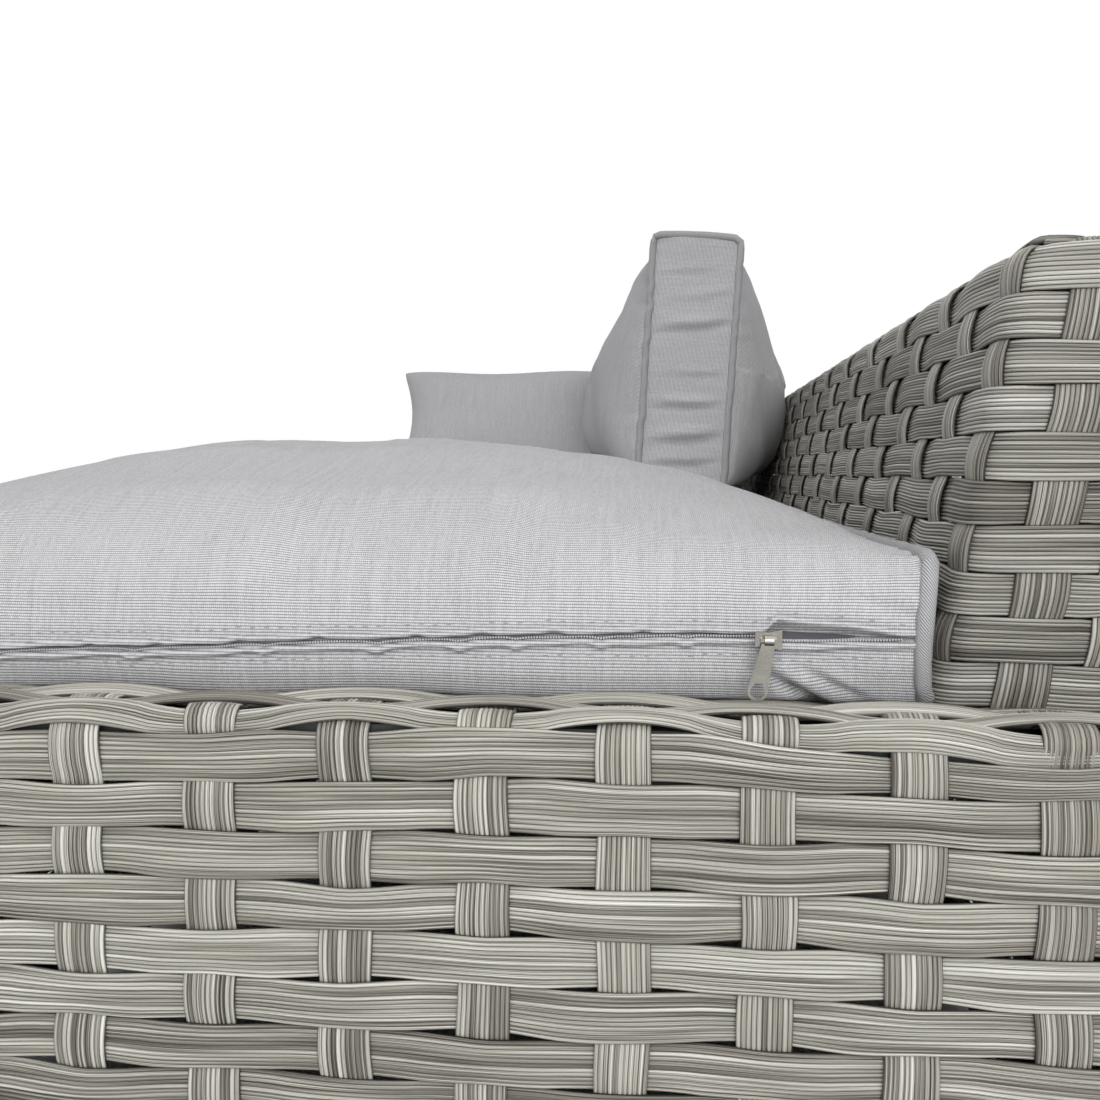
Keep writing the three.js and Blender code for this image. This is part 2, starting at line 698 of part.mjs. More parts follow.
// The open mouth of the zip: a lens between the slider and the zip's closed end.
const zipFrontY = seatFrontY + zipEndInset;
const zipRearY = seatRearY - zipEndInset;
const zipZ = deckHeight + zipHeight;
const mouthY = [zipRearY - zipMouthLength, zipRearY];
const sliderY = mouthY[0];
function mouthOutline(shrink) {
  const points = [];
  const half = zipMouthWidth / 2 - shrink;
  for (const sign of [1, -1]) {
    for (let i = 0; i < zipMouthPoints; i += 1) {
      const share = sign > 0 ? i / zipMouthPoints : 1 - i / zipMouthPoints;
      const y = mouthY[0] + shrink + share * (zipMouthLength - 2 * shrink);
      points.push([y, zipZ + sign * half * Math.sin(share * Math.PI)]);
    }
  }
  return points;
}
const mouthCut = alongX(outlineOf(mouthOutline(restGap)),
  seatNearX - seatNoseBulge - coverWall - cutOverrun, seatNearX + cutOverrun);

const cover = cut(placeSeat(seatForm(0), nearSeatX), placeSeat(seatForm(coverWall), nearSeatX),
  mouthCut);
add("seat_cover_near", cover, "cloth");
add("seat_core_near", placeSeat(seatForm(coverWall + restGap), nearSeatX), "foam");
add("seat_cushion_far", placeSeat(seatForm(0), farSeatX), "cloth");

// Back cushion: stands on the far seat and against the backrest, flattened where it rests
const backLength = -backNearInset - backArmGap - armInnerX;
const backTopZ = deckHeight + backFootRise + backHeight;
const backCentreTopY = backrestFootY - backTopBeforeFoot;
function backCushionForm() {
  const form = paddedBody({
    halfX: backLength / 2,
    halfY: backHeight / 2,
    border: backGusset,
    crown: backFrontCrown,
    underCrown: backRearCrown,
    bulge: 0,
    drawInX: backDrawIn,
    drawInY: backDrawIn,
    power: crownEdgePower,
    fullness: crownFullness,
    columns: backColumns,
    rows: backRows,
    wallRows: borderRows,
  });
  form.translate(0, 0, -backGusset / 2).rotateX(Math.PI / 2).translate(0, 0, -backHeight / 2);
  form.rotateX(-backLean);
  return form.translate(-backNearInset - backLength / 2, backCentreTopY, backTopZ);
}
const seatTool = (x) => placeSeat(seatForm(-restGap), x);
// All that lies behind the backrest's leaning face and its rise past the top.
const backSlab = blockBetween([-sofaLength, 0, -sofaLength], [sofaLength, sofaLength, sofaLength])
  .rotateX(-backrestLean)
  .translate(0, backrestFootY - restGap, deckHeight);
const backCushion = cut(backCushionForm(), seatTool(farSeatX), seatTool(nearSeatX), backSlab);
add("back_cushion", backCushion, "cloth");

// Scatter pillow: stands on the far seat and leans on the arm's inner top edge
const pillowForm = paddedBody({
  halfX: pillowLength / 2,
  halfY: pillowWidth / 2,
  border: pillowSeam,
  crown: (pillowThickness - pillowSeam) / 2,
  underCrown: (pillowThickness - pillowSeam) / 2,
  bulge: 0,
  drawInX: pillowSideDrawIn,
  drawInY: pillowEndDrawIn,
  power: pillowEdgePower,
  fullness: pillowFullness,
  columns: pillowColumns,
  rows: pillowRows,
  wallRows: 1,
}).translate(pillowLength / 2, pillowWidth / 2, -pillowSeam / 2);
pillowForm.rotateY(pillowTilt).translate(
  armInnerX + pillowArmGap, seatFrontY + pillowFrontInset, topZ + pillowTopRise);
// A slab whose upper face leans on the arm's inner top edge.
const armEdge = boxEdgeRadius + pillowEdgeGap;
const armSlab = blockBetween([-sofaLength, -sofaLength, -sofaLength], [sofaLength, sofaLength, 0])
  .rotateY(pillowRestTilt)
  .translate(armInnerX - boxEdgeRadius + armEdge * Math.sin(pillowRestTilt), 0,
    topZ - boxEdgeRadius + armEdge * Math.cos(pillowRestTilt));
const backFrontY = backCentreTopY - backGusset / 2 - backFrontCrown
  - backHeight * Math.tan(backLean) / 2;
const backZone = blockBetween(
  [-backNearInset - backLength - cushionGap, backFrontY - cushionGap, deckHeight],
  [sofaLength, sofaLength, sofaLength]);
add("scatter_pillow", cut(pillowForm, seatTool(farSeatX), armSlab, backZone), "cloth");

// Zip: band with its open mouth, slider with a bail, and a hanging pull

const zipFaceX = seatNearX + restGap;
function zipBand() {
  const half = zipBandWidth / 2;
  const upper = [];
  for (let i = 0; i <= zipMouthPoints; i += 1) {
    const share = i / zipMouthPoints;
    upper.push([mouthY[0] + share * zipMouthLength,
      half + (zipMouthWidth / 2) * Math.sin(share * Math.PI)]);
  }
  const lower = upper.map(([y, z]) => [y, -z]).reverse();
  const rearEnd = zipRearY + half;
  const outline = outlineOf([
    [zipFrontY, half], ...upper, [rearEnd, half], [rearEnd, -half], ...lower, [zipFrontY, -half],
  ].map(([y, z]) => [y, zipZ + z]));
  outline.holes.push(outlineOf(mouthOutline(0)));
  return alongX(outline, zipFaceX, zipFaceX + zipBandThickness);
}
add("zip_band", zipBand(), "nylon");

const sliderBackX = zipFaceX + zipBandThickness + restGap;
const sliderFrontX = sliderBackX + sliderThickness;
function zipSlider() {
  const [reach, wide] = [sliderLength / 2, sliderWidth / 2];
  const neck = wide * sliderNeckShare;
  const plate = alongX(outlineOf([
    [-reach, -neck], [0, -neck], [reach, -wide], [reach, wide], [0, neck], [-reach, neck],
  ].map(([y, z]) => [sliderY + y, zipZ + z])), sliderBackX, sliderFrontX);
  // The bail is a low arch along Y that stands out from the slider.
  const arch = (inset, foot) => {
    const [half, top] = [bailLength / 2 - inset, sliderFrontX + bailHeight - inset];
    return outlineOf([
      [foot, sliderY - half], [top, sliderY - half], [top, sliderY + half], [foot, sliderY + half]]);
  };
  const outline = arch(0, sliderFrontX - restGap);
  outline.holes.push(arch(bailWall, sliderFrontX));
  const bail = plainExtrude(outline, bailWidth).translate(0, 0, zipZ - bailWidth / 2);
  return geometryOf(solidOf(plate).add(solidOf(bail)));
}
add("zip_slider", zipSlider(), "zipMetal");

// The pull's eye is a short sleeve round the bail's bar; its leaf hangs below, a little askew.
const hingeX = sliderFrontX + bailHeight - bailWall / 2;
const circle = (radius) => new THREE.Path().absarc(0, 0, radius, 0, 2 * Math.PI);
function zipPull() {
  const eye = new THREE.Shape(circle(pullEyeRadius).getPoints(pullSides / 2));
  eye.holes.push(new THREE.Path(circle(pullEyeBore).getPoints(pullSides / 2)));
  const sleeveRing = plainExtrude(eye, pullEyeWidth).translate(0, 0, -pullEyeWidth / 2);
  sleeveRing.rotateX(Math.PI / 2);
  const leafOutline = (inset, top) => {
    const [half, neck] = [pullWidth / 2 - inset, pullNeckWidth / 2 - inset];
    const round = pullLength - pullWidth / 2;
    const shape = new THREE.Shape();
    shape.moveTo(-neck, -top);
    shape.lineTo(-half, -round);
    shape.absarc(0, -round, half, Math.PI, 2 * Math.PI);
    shape.lineTo(neck, -top);
    shape.closePath();
    return shape;
  };
  const leaf = leafOutline(0, pullEyeBore + (pullEyeRadius - pullEyeBore) / 2);
  leaf.holes.push(leafOutline(pullRim, pullLength - pullRim - pullLoopLength));
  const hung = alongX(leaf, -pullThickness / 2, pullThickness / 2).rotateX(-pullTilt);
  return geometryOf(solidOf(sleeveRing).add(solidOf(hung)));
}
add("zip_pull", zipPull(), "zipMetal", [hingeX, sliderY, zipZ]);

const whole = new THREE.Box3().setFromObject(sofa);
sofa.position.y = -(whole.min.y + whole.max.y) / 2;

export default sofa;
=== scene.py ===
"""The looks of a woven garden sofa: rattan strips, sewn cushions, a scatter pillow and a zip.

Lengths in this script are millimetres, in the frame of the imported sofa, and become metres when a
piece is made.
"""
import math

import bmesh
import bpy
import numpy as np
from mathutils import Matrix, Vector


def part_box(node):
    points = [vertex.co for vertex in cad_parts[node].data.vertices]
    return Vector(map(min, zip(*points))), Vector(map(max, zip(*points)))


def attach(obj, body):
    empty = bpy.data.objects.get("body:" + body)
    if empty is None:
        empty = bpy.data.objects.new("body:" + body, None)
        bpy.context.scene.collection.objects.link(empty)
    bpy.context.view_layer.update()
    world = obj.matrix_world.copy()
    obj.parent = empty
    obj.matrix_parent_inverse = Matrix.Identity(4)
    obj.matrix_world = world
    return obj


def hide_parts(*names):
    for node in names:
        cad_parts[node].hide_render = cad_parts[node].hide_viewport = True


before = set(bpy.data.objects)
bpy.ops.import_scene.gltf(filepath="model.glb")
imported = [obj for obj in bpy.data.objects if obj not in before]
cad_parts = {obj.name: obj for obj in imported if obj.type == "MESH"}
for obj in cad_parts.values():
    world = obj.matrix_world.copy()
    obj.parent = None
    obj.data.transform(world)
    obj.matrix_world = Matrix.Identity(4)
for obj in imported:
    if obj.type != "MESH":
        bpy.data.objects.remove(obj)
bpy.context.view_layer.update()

MM = 0.001
rng = np.random.default_rng(41)


def box_mm(node):
    """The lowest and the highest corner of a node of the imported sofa."""
    low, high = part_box(node)
    return np.array(low) / MM, np.array(high) / MM


def added(name, data):
    """A new object of the scene for a mesh, a curve, a lamp or a camera."""
    thing = bpy.data.objects.new(name, data)
    bpy.context.scene.collection.objects.link(thing)
    return thing


def hump(x, width):
    """A rounded rise of height 1 about x = 0."""
    return np.exp(-(x / width) ** 2)


# Nodes


class Socket:
    """A node's output that takes part in sums."""

    def __init__(self, tree, out):
        self.tree, self.out = tree, out

    def beside(self, name):
        """Another output of the same node."""
        return Socket(self.tree, self.out.node.outputs[name])

    def math(self, operation, other=None):
        node = self.tree.nodes.new("ShaderNodeMath")
        node.operation = operation
        for slot, value in enumerate((self, other)):
            if isinstance(value, Socket):
                self.tree.links.new(value.out, node.inputs[slot])
            elif value is not None:
                node.inputs[slot].default_value = value
        return Socket(self.tree, node.outputs[0])

    def __add__(self, other):
        return self.math("ADD", other)

    def __sub__(self, other):
        return self.math("SUBTRACT", other)

    def __mul__(self, other):
        return self.math("MULTIPLY", other)

    def __truediv__(self, other):
        return self.math("DIVIDE", other)

    def __pow__(self, other):
        return self.math("POWER", other)

    def __rsub__(self, other):
        return self.math("MULTIPLY", -1.0) + other

    __radd__ = __add__
    __rmul__ = __mul__


def set_stops(ramp, stops):
    while len(ramp.elements) < len(stops):
        ramp.elements.new(0.5)
    for element, (place, colour) in zip(ramp.elements, stops):
        element.position = place
        element.color = (*colour, 1.0)


class Nodes:
    """Adds nodes to one tree, of a material, the world or a modifier."""

    def __init__(self, tree):
        self.tree = tree

    def node(self, kind, settings=None, out=0, **inputs):
        """Adds a node and gives one of its outputs. An input goes by its name or _number."""
        node = self.tree.nodes.new(kind)
        for name, value in (settings or {}).items():
            if name == "stops":
                set_stops(node.color_ramp, value)
            else:
                setattr(node, name, value)
        for name, value in inputs.items():
            socket = node.inputs[int(name[1:])] if name[0] == "_" else node.inputs[name]
            if isinstance(value, Socket):
                self.tree.links.new(value.out, socket)
            else:
                socket.default_value = value
        return Socket(self.tree, node.outputs[out]) if node.outputs else None


class Finish(Nodes):
    """A material whose colour, roughness and bump are built from nodes."""

    def __init__(self, name, **values):
        self.material = bpy.data.materials.new(name)
        self.material.use_nodes = True
        super().__init__(self.material.node_tree)
        self.shader = self.tree.nodes["Principled BSDF"]
        for socket, value in values.items():
            self.shader.inputs[socket.replace("_", " ")].default_value = value

    def feed(self, name, socket):
        self.tree.links.new(socket.out, self.shader.inputs[name])

    def uv(self):
        """Both directions of a piece's own map, which is called strip."""
        first = self.node("ShaderNodeSeparateXYZ",
                          _0=self.node("ShaderNodeUVMap", {"uv_map": "strip"}))
        return first, first.beside("Y")

    def place(self):
        return self.node("ShaderNodeTexCoord", out="Object")

    def vector(self, x, y, z=0.0):
        return self.node("ShaderNodeCombineXYZ", X=x, Y=y, Z=z)

    def noise(self, vector, scale, detail=2.0, roughness=0.5):
        return self.node("ShaderNodeTexNoise", {"noise_dimensions": "3D"}, Vector=vector,
                         Scale=scale, Detail=detail, Roughness=roughness)

    def chance(self, vector):
        """An even random number for each whole place."""
        return self.node("ShaderNodeTexWhiteNoise", {"noise_dimensions": "3D"}, Vector=vector)

    def ramp(self, share, stops):
        return self.node("ShaderNodeValToRGB", {"stops": stops}, _0=share)

    def bump(self, height, distance, strength=1.0, **under):
        """A bump, which lies over another one where Normal is given."""
        return self.node("ShaderNodeBump", Height=height, Distance=distance,
                         Strength=strength, **under)


# Finishes


def linear(red, green, blue):
    """A colour as the eye reads it on a screen, 0 to 255, made linear."""
    return tuple(((c / 255 + 0.055) / 1.055) ** 2.4 for c in (red, green, blue))


def scaled(colour, factor):
    return tuple(min(1.0, c * factor) for c in colour)


RIBS = 11
RATTAN_GREYS = ((0.0, (56, 51, 45)), (0.22, (104, 98, 88)), (0.45, (158, 154, 143)),
                (0.68, (204, 201, 190)), (1.0, (242, 240, 232)))
CANVAS_RIB = 1.45
CANVAS_STITCH = 0.95
TWILL_CORD = 1.5
TWILL_THREAD = 0.8


def strip_finish(name, rib_depth, least_painted_hollow_shade, shade=1.0):
    """Extruded garden rattan: rounded ribs and hair lines along a strip, in mixed greys, with
    painted shade in the hollows between ribs.
    """
    finish = Finish(name, Specular_IOR_Level=0.5)
    along, coded = finish.uv()
    strand = coded.math("FLOOR")
    share = coded - strand
    rib = share * float(RIBS)
    number = rib.math("FLOOR")
    ridge = (rib * math.pi).math("SINE").math("ABSOLUTE")
    own = finish.chance(finish.vector(strand, number))
    between = finish.chance(finish.vector(strand, (rib + 0.5).math("FLOOR"), 7.0))
    streak = finish.noise(finish.vector(along * 4.0, number * 3.1 + strand * 7.7), 1.0, 3.0, 0.6)
    hair = finish.noise(finish.vector(along * 9.0, share * 105.0 + strand * 5.3), 1.0, 2.0, 0.65)
    whole = finish.noise(finish.vector(strand * 3.37, along * 1.3), 1.0, 1.0)
    tone = (0.48 + (own - 0.5) * 0.34 + (streak - 0.5) * 1.2 + (hair - 0.5) * 2.2
            + (whole - 0.5) * 0.6)
    # A shade below 1 darkens every grey, which makes a darker copy of the rattan that paints shade.
    colour = finish.ramp(tone, [(place, scaled(linear(*grey), shade))
                                for place, grey in RATTAN_GREYS])
    # Painted shade: the colour darkens in each hollow between ribs, by a random depth per hollow,
    # as the ribs would shade it.
    painted_hollow_shade = 1.0 - (1.0 - ridge) ** 1.9 * (least_painted_hollow_shade + between * (0.95 - least_painted_hollow_shade))
    colour_with_painted_shade = finish.node("ShaderNodeMix", {"data_type": "RGBA", "blend_type": "MULTIPLY"}, out=2,
                         _0=1.0, _6=colour, _7=finish.vector(painted_hollow_shade, painted_hollow_shade, painted_hollow_shade))
    finish.feed("Base Color", colour_with_painted_shade)
    finish.feed("Roughness", hair * 0.3 + 0.27)
    lines = finish.bump(hair, 0.0005, 0.7)
    finish.feed("Normal", finish.bump(ridge ** 0.6, rib_depth, Normal=lines))
    return finish.material


def cloth_finish(name, shade):
    """Outdoor canvas: fine ribs across, thread by thread, with slubs along them."""
    finish = Finish(name, Roughness=0.92, Specular_IOR_Level=0.25, Sheen_Weight=0.05,
                    Sheen_Roughness=0.5)
    across, up = finish.uv()
    drift = finish.noise(finish.vector(across * 40.0, up * 3.0), 1.0) * 0.5
    line = up * (1.0 / (CANVAS_RIB * MM)) + drift
    rib = (line * math.pi).math("SINE").math("ABSOLUTE")
    row = line.math("FLOOR")
    stitch = across * (1.0 / (CANVAS_STITCH * MM)) + finish.chance(finish.vector(row, 3.0)) * 0.8
    thread = (stitch * math.pi).math("SINE").math("ABSOLUTE")
    own = finish.chance(finish.vector(stitch.math("FLOOR"), row))
    slub = finish.noise(finish.vector(across * 420.0, up * 16.0), 1.0, 3.0, 0.65)
    broad = finish.noise(finish.vector(across * 9.0, up * 9.0), 1.0)
    weave = rib * 0.4 + rib * thread * (own * 0.5 + 0.42)
    tone = weave * 0.95 + (slub - 0.5) * 0.4 + (broad - 0.5) * 0.1 - 0.04
    finish.feed("Base Color", finish.ramp(tone, [
        (0.1, scaled(shade, 0.45)), (0.5, shade), (0.95, scaled(shade, 1.32))]))
    wrinkled = finish.bump(slub, 0.0002, 0.5)
    finish.feed("Normal", finish.bump(weave, 0.00035, 0.8, Normal=wrinkled))
    return finish.material


def twill_finish(name, shade):
    """Bias-cut piping: diagonal cords."""
    finish = Finish(name, Roughness=0.9, Specular_IOR_Level=0.25)
    across, up = finish.uv()
    cord, thread = (
        (way * (math.pi / (pitch * MM))).math("SINE").math("ABSOLUTE")
        for way, pitch in ((across + up, TWILL_CORD), (across - up * 0.6, TWILL_THREAD)))
    finish.feed("Base Color", finish.ramp(cord * 0.6 + thread * 0.25 + 0.1, [
        (0.1, scaled(shade, 0.3)), (0.5, scaled(shade, 0.85)), (0.95, scaled(shade, 1.1))]))
    finish.feed("Normal", finish.bump(cord, 0.0007))
    return finish.material


def plain_finish(name, colour, roughness, metallic=0.0, grain=60.0, depth=0.0002, spread=0.15):
    """Coated tube, moulded plastic, steel or foam: one colour with a fine grain and wear."""
    finish = Finish(name, Metallic=metallic)
    place = finish.place()
    fine = finish.noise(place, grain * 10.0, 3.0)
    worn = finish.noise(place, grain * 0.3, 4.0)
    finish.feed("Base Color", finish.ramp(fine * 0.4 + worn * 0.6, [
        (0.25, scaled(colour, 1.0 - spread)), (0.6, colour),
        (0.85, scaled(colour, 1.0 + spread))]))
    finish.feed("Roughness", worn * 0.25 + (roughness - 0.12))
    finish.feed("Normal", finish.bump(fine, depth, 0.5))
    return finish.material


CANVAS = linear(196, 195, 197)
# The third number is the least share of its colour that each hollow between ribs loses to painted
# shade.
weave_near = strip_finish("woven_strip_ribbed", 0.0004, 0.72)
# The backrest's ribbed rows: the same rattan with every grey darkened to 0.8, as painted shade.
weave_back_painted_shade = strip_finish("woven_strip_backrest", 0.0005, 0.85, 0.8)
weave_far = strip_finish("woven_strip_plain", 0.0011, 0.5)
canvas = cloth_finish("canvas", CANVAS)
piping_twill = twill_finish("piping_twill", CANVAS)
thread_grey = plain_finish("sewing_thread", linear(158, 158, 164), 0.8, grain=200.0)
tube_coat = plain_finish("tube_coat", linear(54, 55, 56), 0.5, 0.3, 50.0, 0.00025)
glide_plastic = plain_finish("glide_plastic", linear(38, 39, 42), 0.55, 0.0, 80.0)
bolt_steel = plain_finish("bolt_steel", linear(168, 170, 172), 0.35, 1.0, 120.0, 0.0001)
foam_block = plain_finish("foam_block", linear(232, 226, 206), 0.95, 0.0, 90.0, 0.0012, 0.08)
zip_nylon = plain_finish("zip_nylon", linear(196, 196, 200), 0.55, 0.0, 200.0, 0.0001)
# Zip tape and the lining behind the gap: dark grey, which paints the shade in the gap and in the
# open mouth.
zip_lining = plain_finish("zip_lining", linear(98, 99, 104), 0.9, 0.0, 200.0, 0.0003)
zip_metal = plain_finish("zip_metal", linear(158, 155, 147), 0.22, 1.0, 160.0, 0.0001, 0.45)


# Meshes


class Shape:
    """Gathers grids of points and turns them into one closed piece."""

    def __init__(self):
        self.points, self.count = [], 0
        self.quads, self.quad_uv, self.tris, self.tri_uv = [], [], [], []

    def grid(self, points, uv, outward, wrap=False, capped=False):
        """Adds a grid of points whose faces are turned to look outward."""
        n, m = points.shape[:2]
        start = self.count
        self.points.append(points.reshape(-1, 3))
        self.count += n * m
        i = np.arange(n - 1)[:, None]
        j = np.arange(m if wrap else m - 1)[None, :]
        following = (j + 1) % m
        index = np.stack([i * m + j, (i + 1) * m + j, (i + 1) * m + following,
                          i * m + following], -1) + start
        corner_uv = np.stack([uv[i, j], uv[i + 1, j], uv[i + 1, j + 1], uv[i, j + 1]], -2)
        mid_n, mid_m = min(n // 2, n - 2), outward.shape[1] // 2
        turn = np.cross(points[mid_n + 1, mid_m] - points[mid_n, mid_m],
                        points[mid_n, mid_m + 1] - points[mid_n, mid_m])
        flip = float(turn @ outward[mid_n, mid_m]) < 0
        if flip:
            index, corner_uv = index[..., ::-1], corner_uv[..., ::-1, :]
        self.quads.append(index.reshape(-1, 4))
        self.quad_uv.append(corner_uv.reshape(-1, 4, 2))
        if capped:
            for row in (0, n - 1):
                self.points.append(points[row].mean(0)[None])
                centre = self.count
                self.count += 1
                ring = np.arange(m)
                a, b = start + row * m + ring, start + row * m + (ring + 1) % m
                order = (a, b) if (row == 0) != flip else (b, a)
                self.tris.append(np.stack([order[0], order[1], np.full(m, centre)], -1))
                self.tri_uv.append(np.broadcast_to(uv[row, 0], (m, 3, 2)))

    def piece(self, name, body, slot, finish, merge=0.0, replaces=()):
        points = np.concatenate(self.points) * MM
        quads = np.concatenate(self.quads)
        tris = np.concatenate(self.tris) if self.tris else np.zeros((0, 3), int)
        mesh = bpy.data.meshes.new(name)
        mesh.vertices.add(len(points))
        mesh.vertices.foreach_set("co", points.astype(np.float32).ravel())
        corners = np.concatenate([quads.ravel(), tris.ravel()])
        sizes = np.concatenate([np.full(len(quads), 4), np.full(len(tris), 3)])
        mesh.loops.add(len(corners))
        mesh.loops.foreach_set("vertex_index", corners.astype(np.int32))
        mesh.polygons.add(len(sizes))
        starts = np.concatenate([[0], np.cumsum(sizes)[:-1]])
        mesh.polygons.foreach_set("loop_start", starts.astype(np.int32))
        mesh.polygons.foreach_set("loop_total", sizes.astype(np.int32))
        mesh.update(calc_edges=True)
        uv = np.concatenate([np.concatenate(self.quad_uv).reshape(-1, 2)]
                            + [t.reshape(-1, 2) for t in self.tri_uv])
        layer = mesh.uv_layers.new(name="strip")
        layer.data.foreach_set("uv", uv.astype(np.float32).ravel())
        mesh.polygons.foreach_set("use_smooth", np.ones(len(sizes), bool))
        mesh.materials.append(finish)
        if merge:
            whole = bmesh.new()
            whole.from_mesh(mesh)
            bmesh.ops.remove_doubles(whole, verts=whole.verts, dist=merge * MM)
            bmesh.ops.recalc_face_normals(whole, faces=whole.faces)
            whole.to_mesh(mesh)
            whole.free()
        mesh.validate()
        thing = added(name, mesh)
        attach(thing, body)
        if replaces:
            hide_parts(*replaces)
        return thing


CORD_SIDES = 12


def cord_along(shape, path, radius):
    """A round cord on a closed path of points, with the length and girth as its map."""
    path = np.concatenate([path, path[:1]])
    ahead = np.gradient(path, axis=0)
    ahead[0] = ahead[-1] = path[1] - path[-2]
    ahead /= np.linalg.norm(ahead, axis=1)[:, None]
    side = np.cross(ahead, [0.31, 0.17, 0.93])
    side /= np.linalg.norm(side, axis=1)[:, None]
    other = np.cross(ahead, side)
    turn = np.linspace(0, 2 * math.pi, CORD_SIDES, endpoint=False)
    outward = radius * (np.cos(turn)[None, :, None] * side[:, None]
                        + np.sin(turn)[None, :, None] * other[:, None])
    length = np.concatenate([[0], np.cumsum(np.linalg.norm(np.diff(path, axis=0), axis=1))])
    girth = np.linspace(0, 2 * math.pi, CORD_SIDES + 1) * radius
    uv = np.stack(np.meshgrid(length, girth, indexing="ij"), -1) * MM
    shape.grid(path[:, None] + outward, uv, wrap=True, outward=outward)


# Woven strips

LIFT = 1.8
STRIP_HALF_THICKNESS = 0.75
COLUMN_HALF_WIDTH = 11.6
COLUMN_PITCH = 60.0
LEAST_GAP, WIDEST_GAP = 0.35, 3.4
GAP_REACH = 27.0
WANDER_WAVES = np.array([95.0, 160.0, 290.0])
TUCK_RUN = 12.0
strand_number = [0]


def strip_profile(ribbed):
    """Places across a strip, from -1 to 1, and their heights over its middle plane."""
    if ribbed:
        share = np.linspace(-1, 1, RIBS * 3 + 1)
        ridge = np.abs(np.sin(np.linspace(0, RIBS * math.pi, RIBS * 3 + 1))) ** 0.7
        dome, rib, drop = 0.85, 0.55, 0.6
    else:
        share = np.array([-1, -0.85, -0.6, -0.3, 0, 0.3, 0.6, 0.85, 1])
        ridge, dome, rib, drop = 0.0, 0.8, 0.0, 0.45
    height = STRIP_HALF_THICKNESS + dome * (1 - np.abs(share) ** 3) + rib * ridge - drop
    share = np.concatenate([share, [1, -1]])
    height = np.concatenate([height, [-STRIP_HALF_THICKNESS] * 2])
    return share, height


PROFILES = {True: strip_profile(True), False: strip_profile(False)}


def strip(shape, sheet, along, middle, half, lift, tilt, ribbed, is_row):
    """One strip on a sheet: along runs its length, middle and half give its place across."""
    share, height = PROFILES[ribbed]
    cross = middle[:, None] + share[None, :] * half[:, None]
    length = np.broadcast_to(along[:, None], cross.shape)
    a, b = (length, cross) if is_row else (cross, length)
    place, normal = sheet(a, b)
    raised = lift[:, None] + tilt * share[None, :] + height[None, :]
    strand_number[0] += 1
    start = rng.uniform(0, 40)
    map_across = strand_number[0] + 0.5 + 0.499 * np.concatenate([share, share[:1]])
    map_along = (along * MM + start)[:, None]
    uv = np.stack(np.broadcast_arrays(map_along, map_across[None, :]), -1)
    shape.grid(place + normal * raised[..., None], uv, wrap=True, capped=True, outward=normal)


def wobble(x, waves, size):
    """A smooth seeded wander along x."""
    total = np.zeros_like(x)
    for wave in waves:
        total += np.sin(x * 2 * math.pi / (wave * rng.uniform(0.85, 1.2)) + rng.uniform(0, 6.28))
    return total * size / len(waves)


def passing(phase):
    """1 where a strip passes over its neighbour and -1 where it passes under."""
    wave = np.cos(math.pi * phase)
    return np.sign(wave) * np.abs(wave) ** 0.8


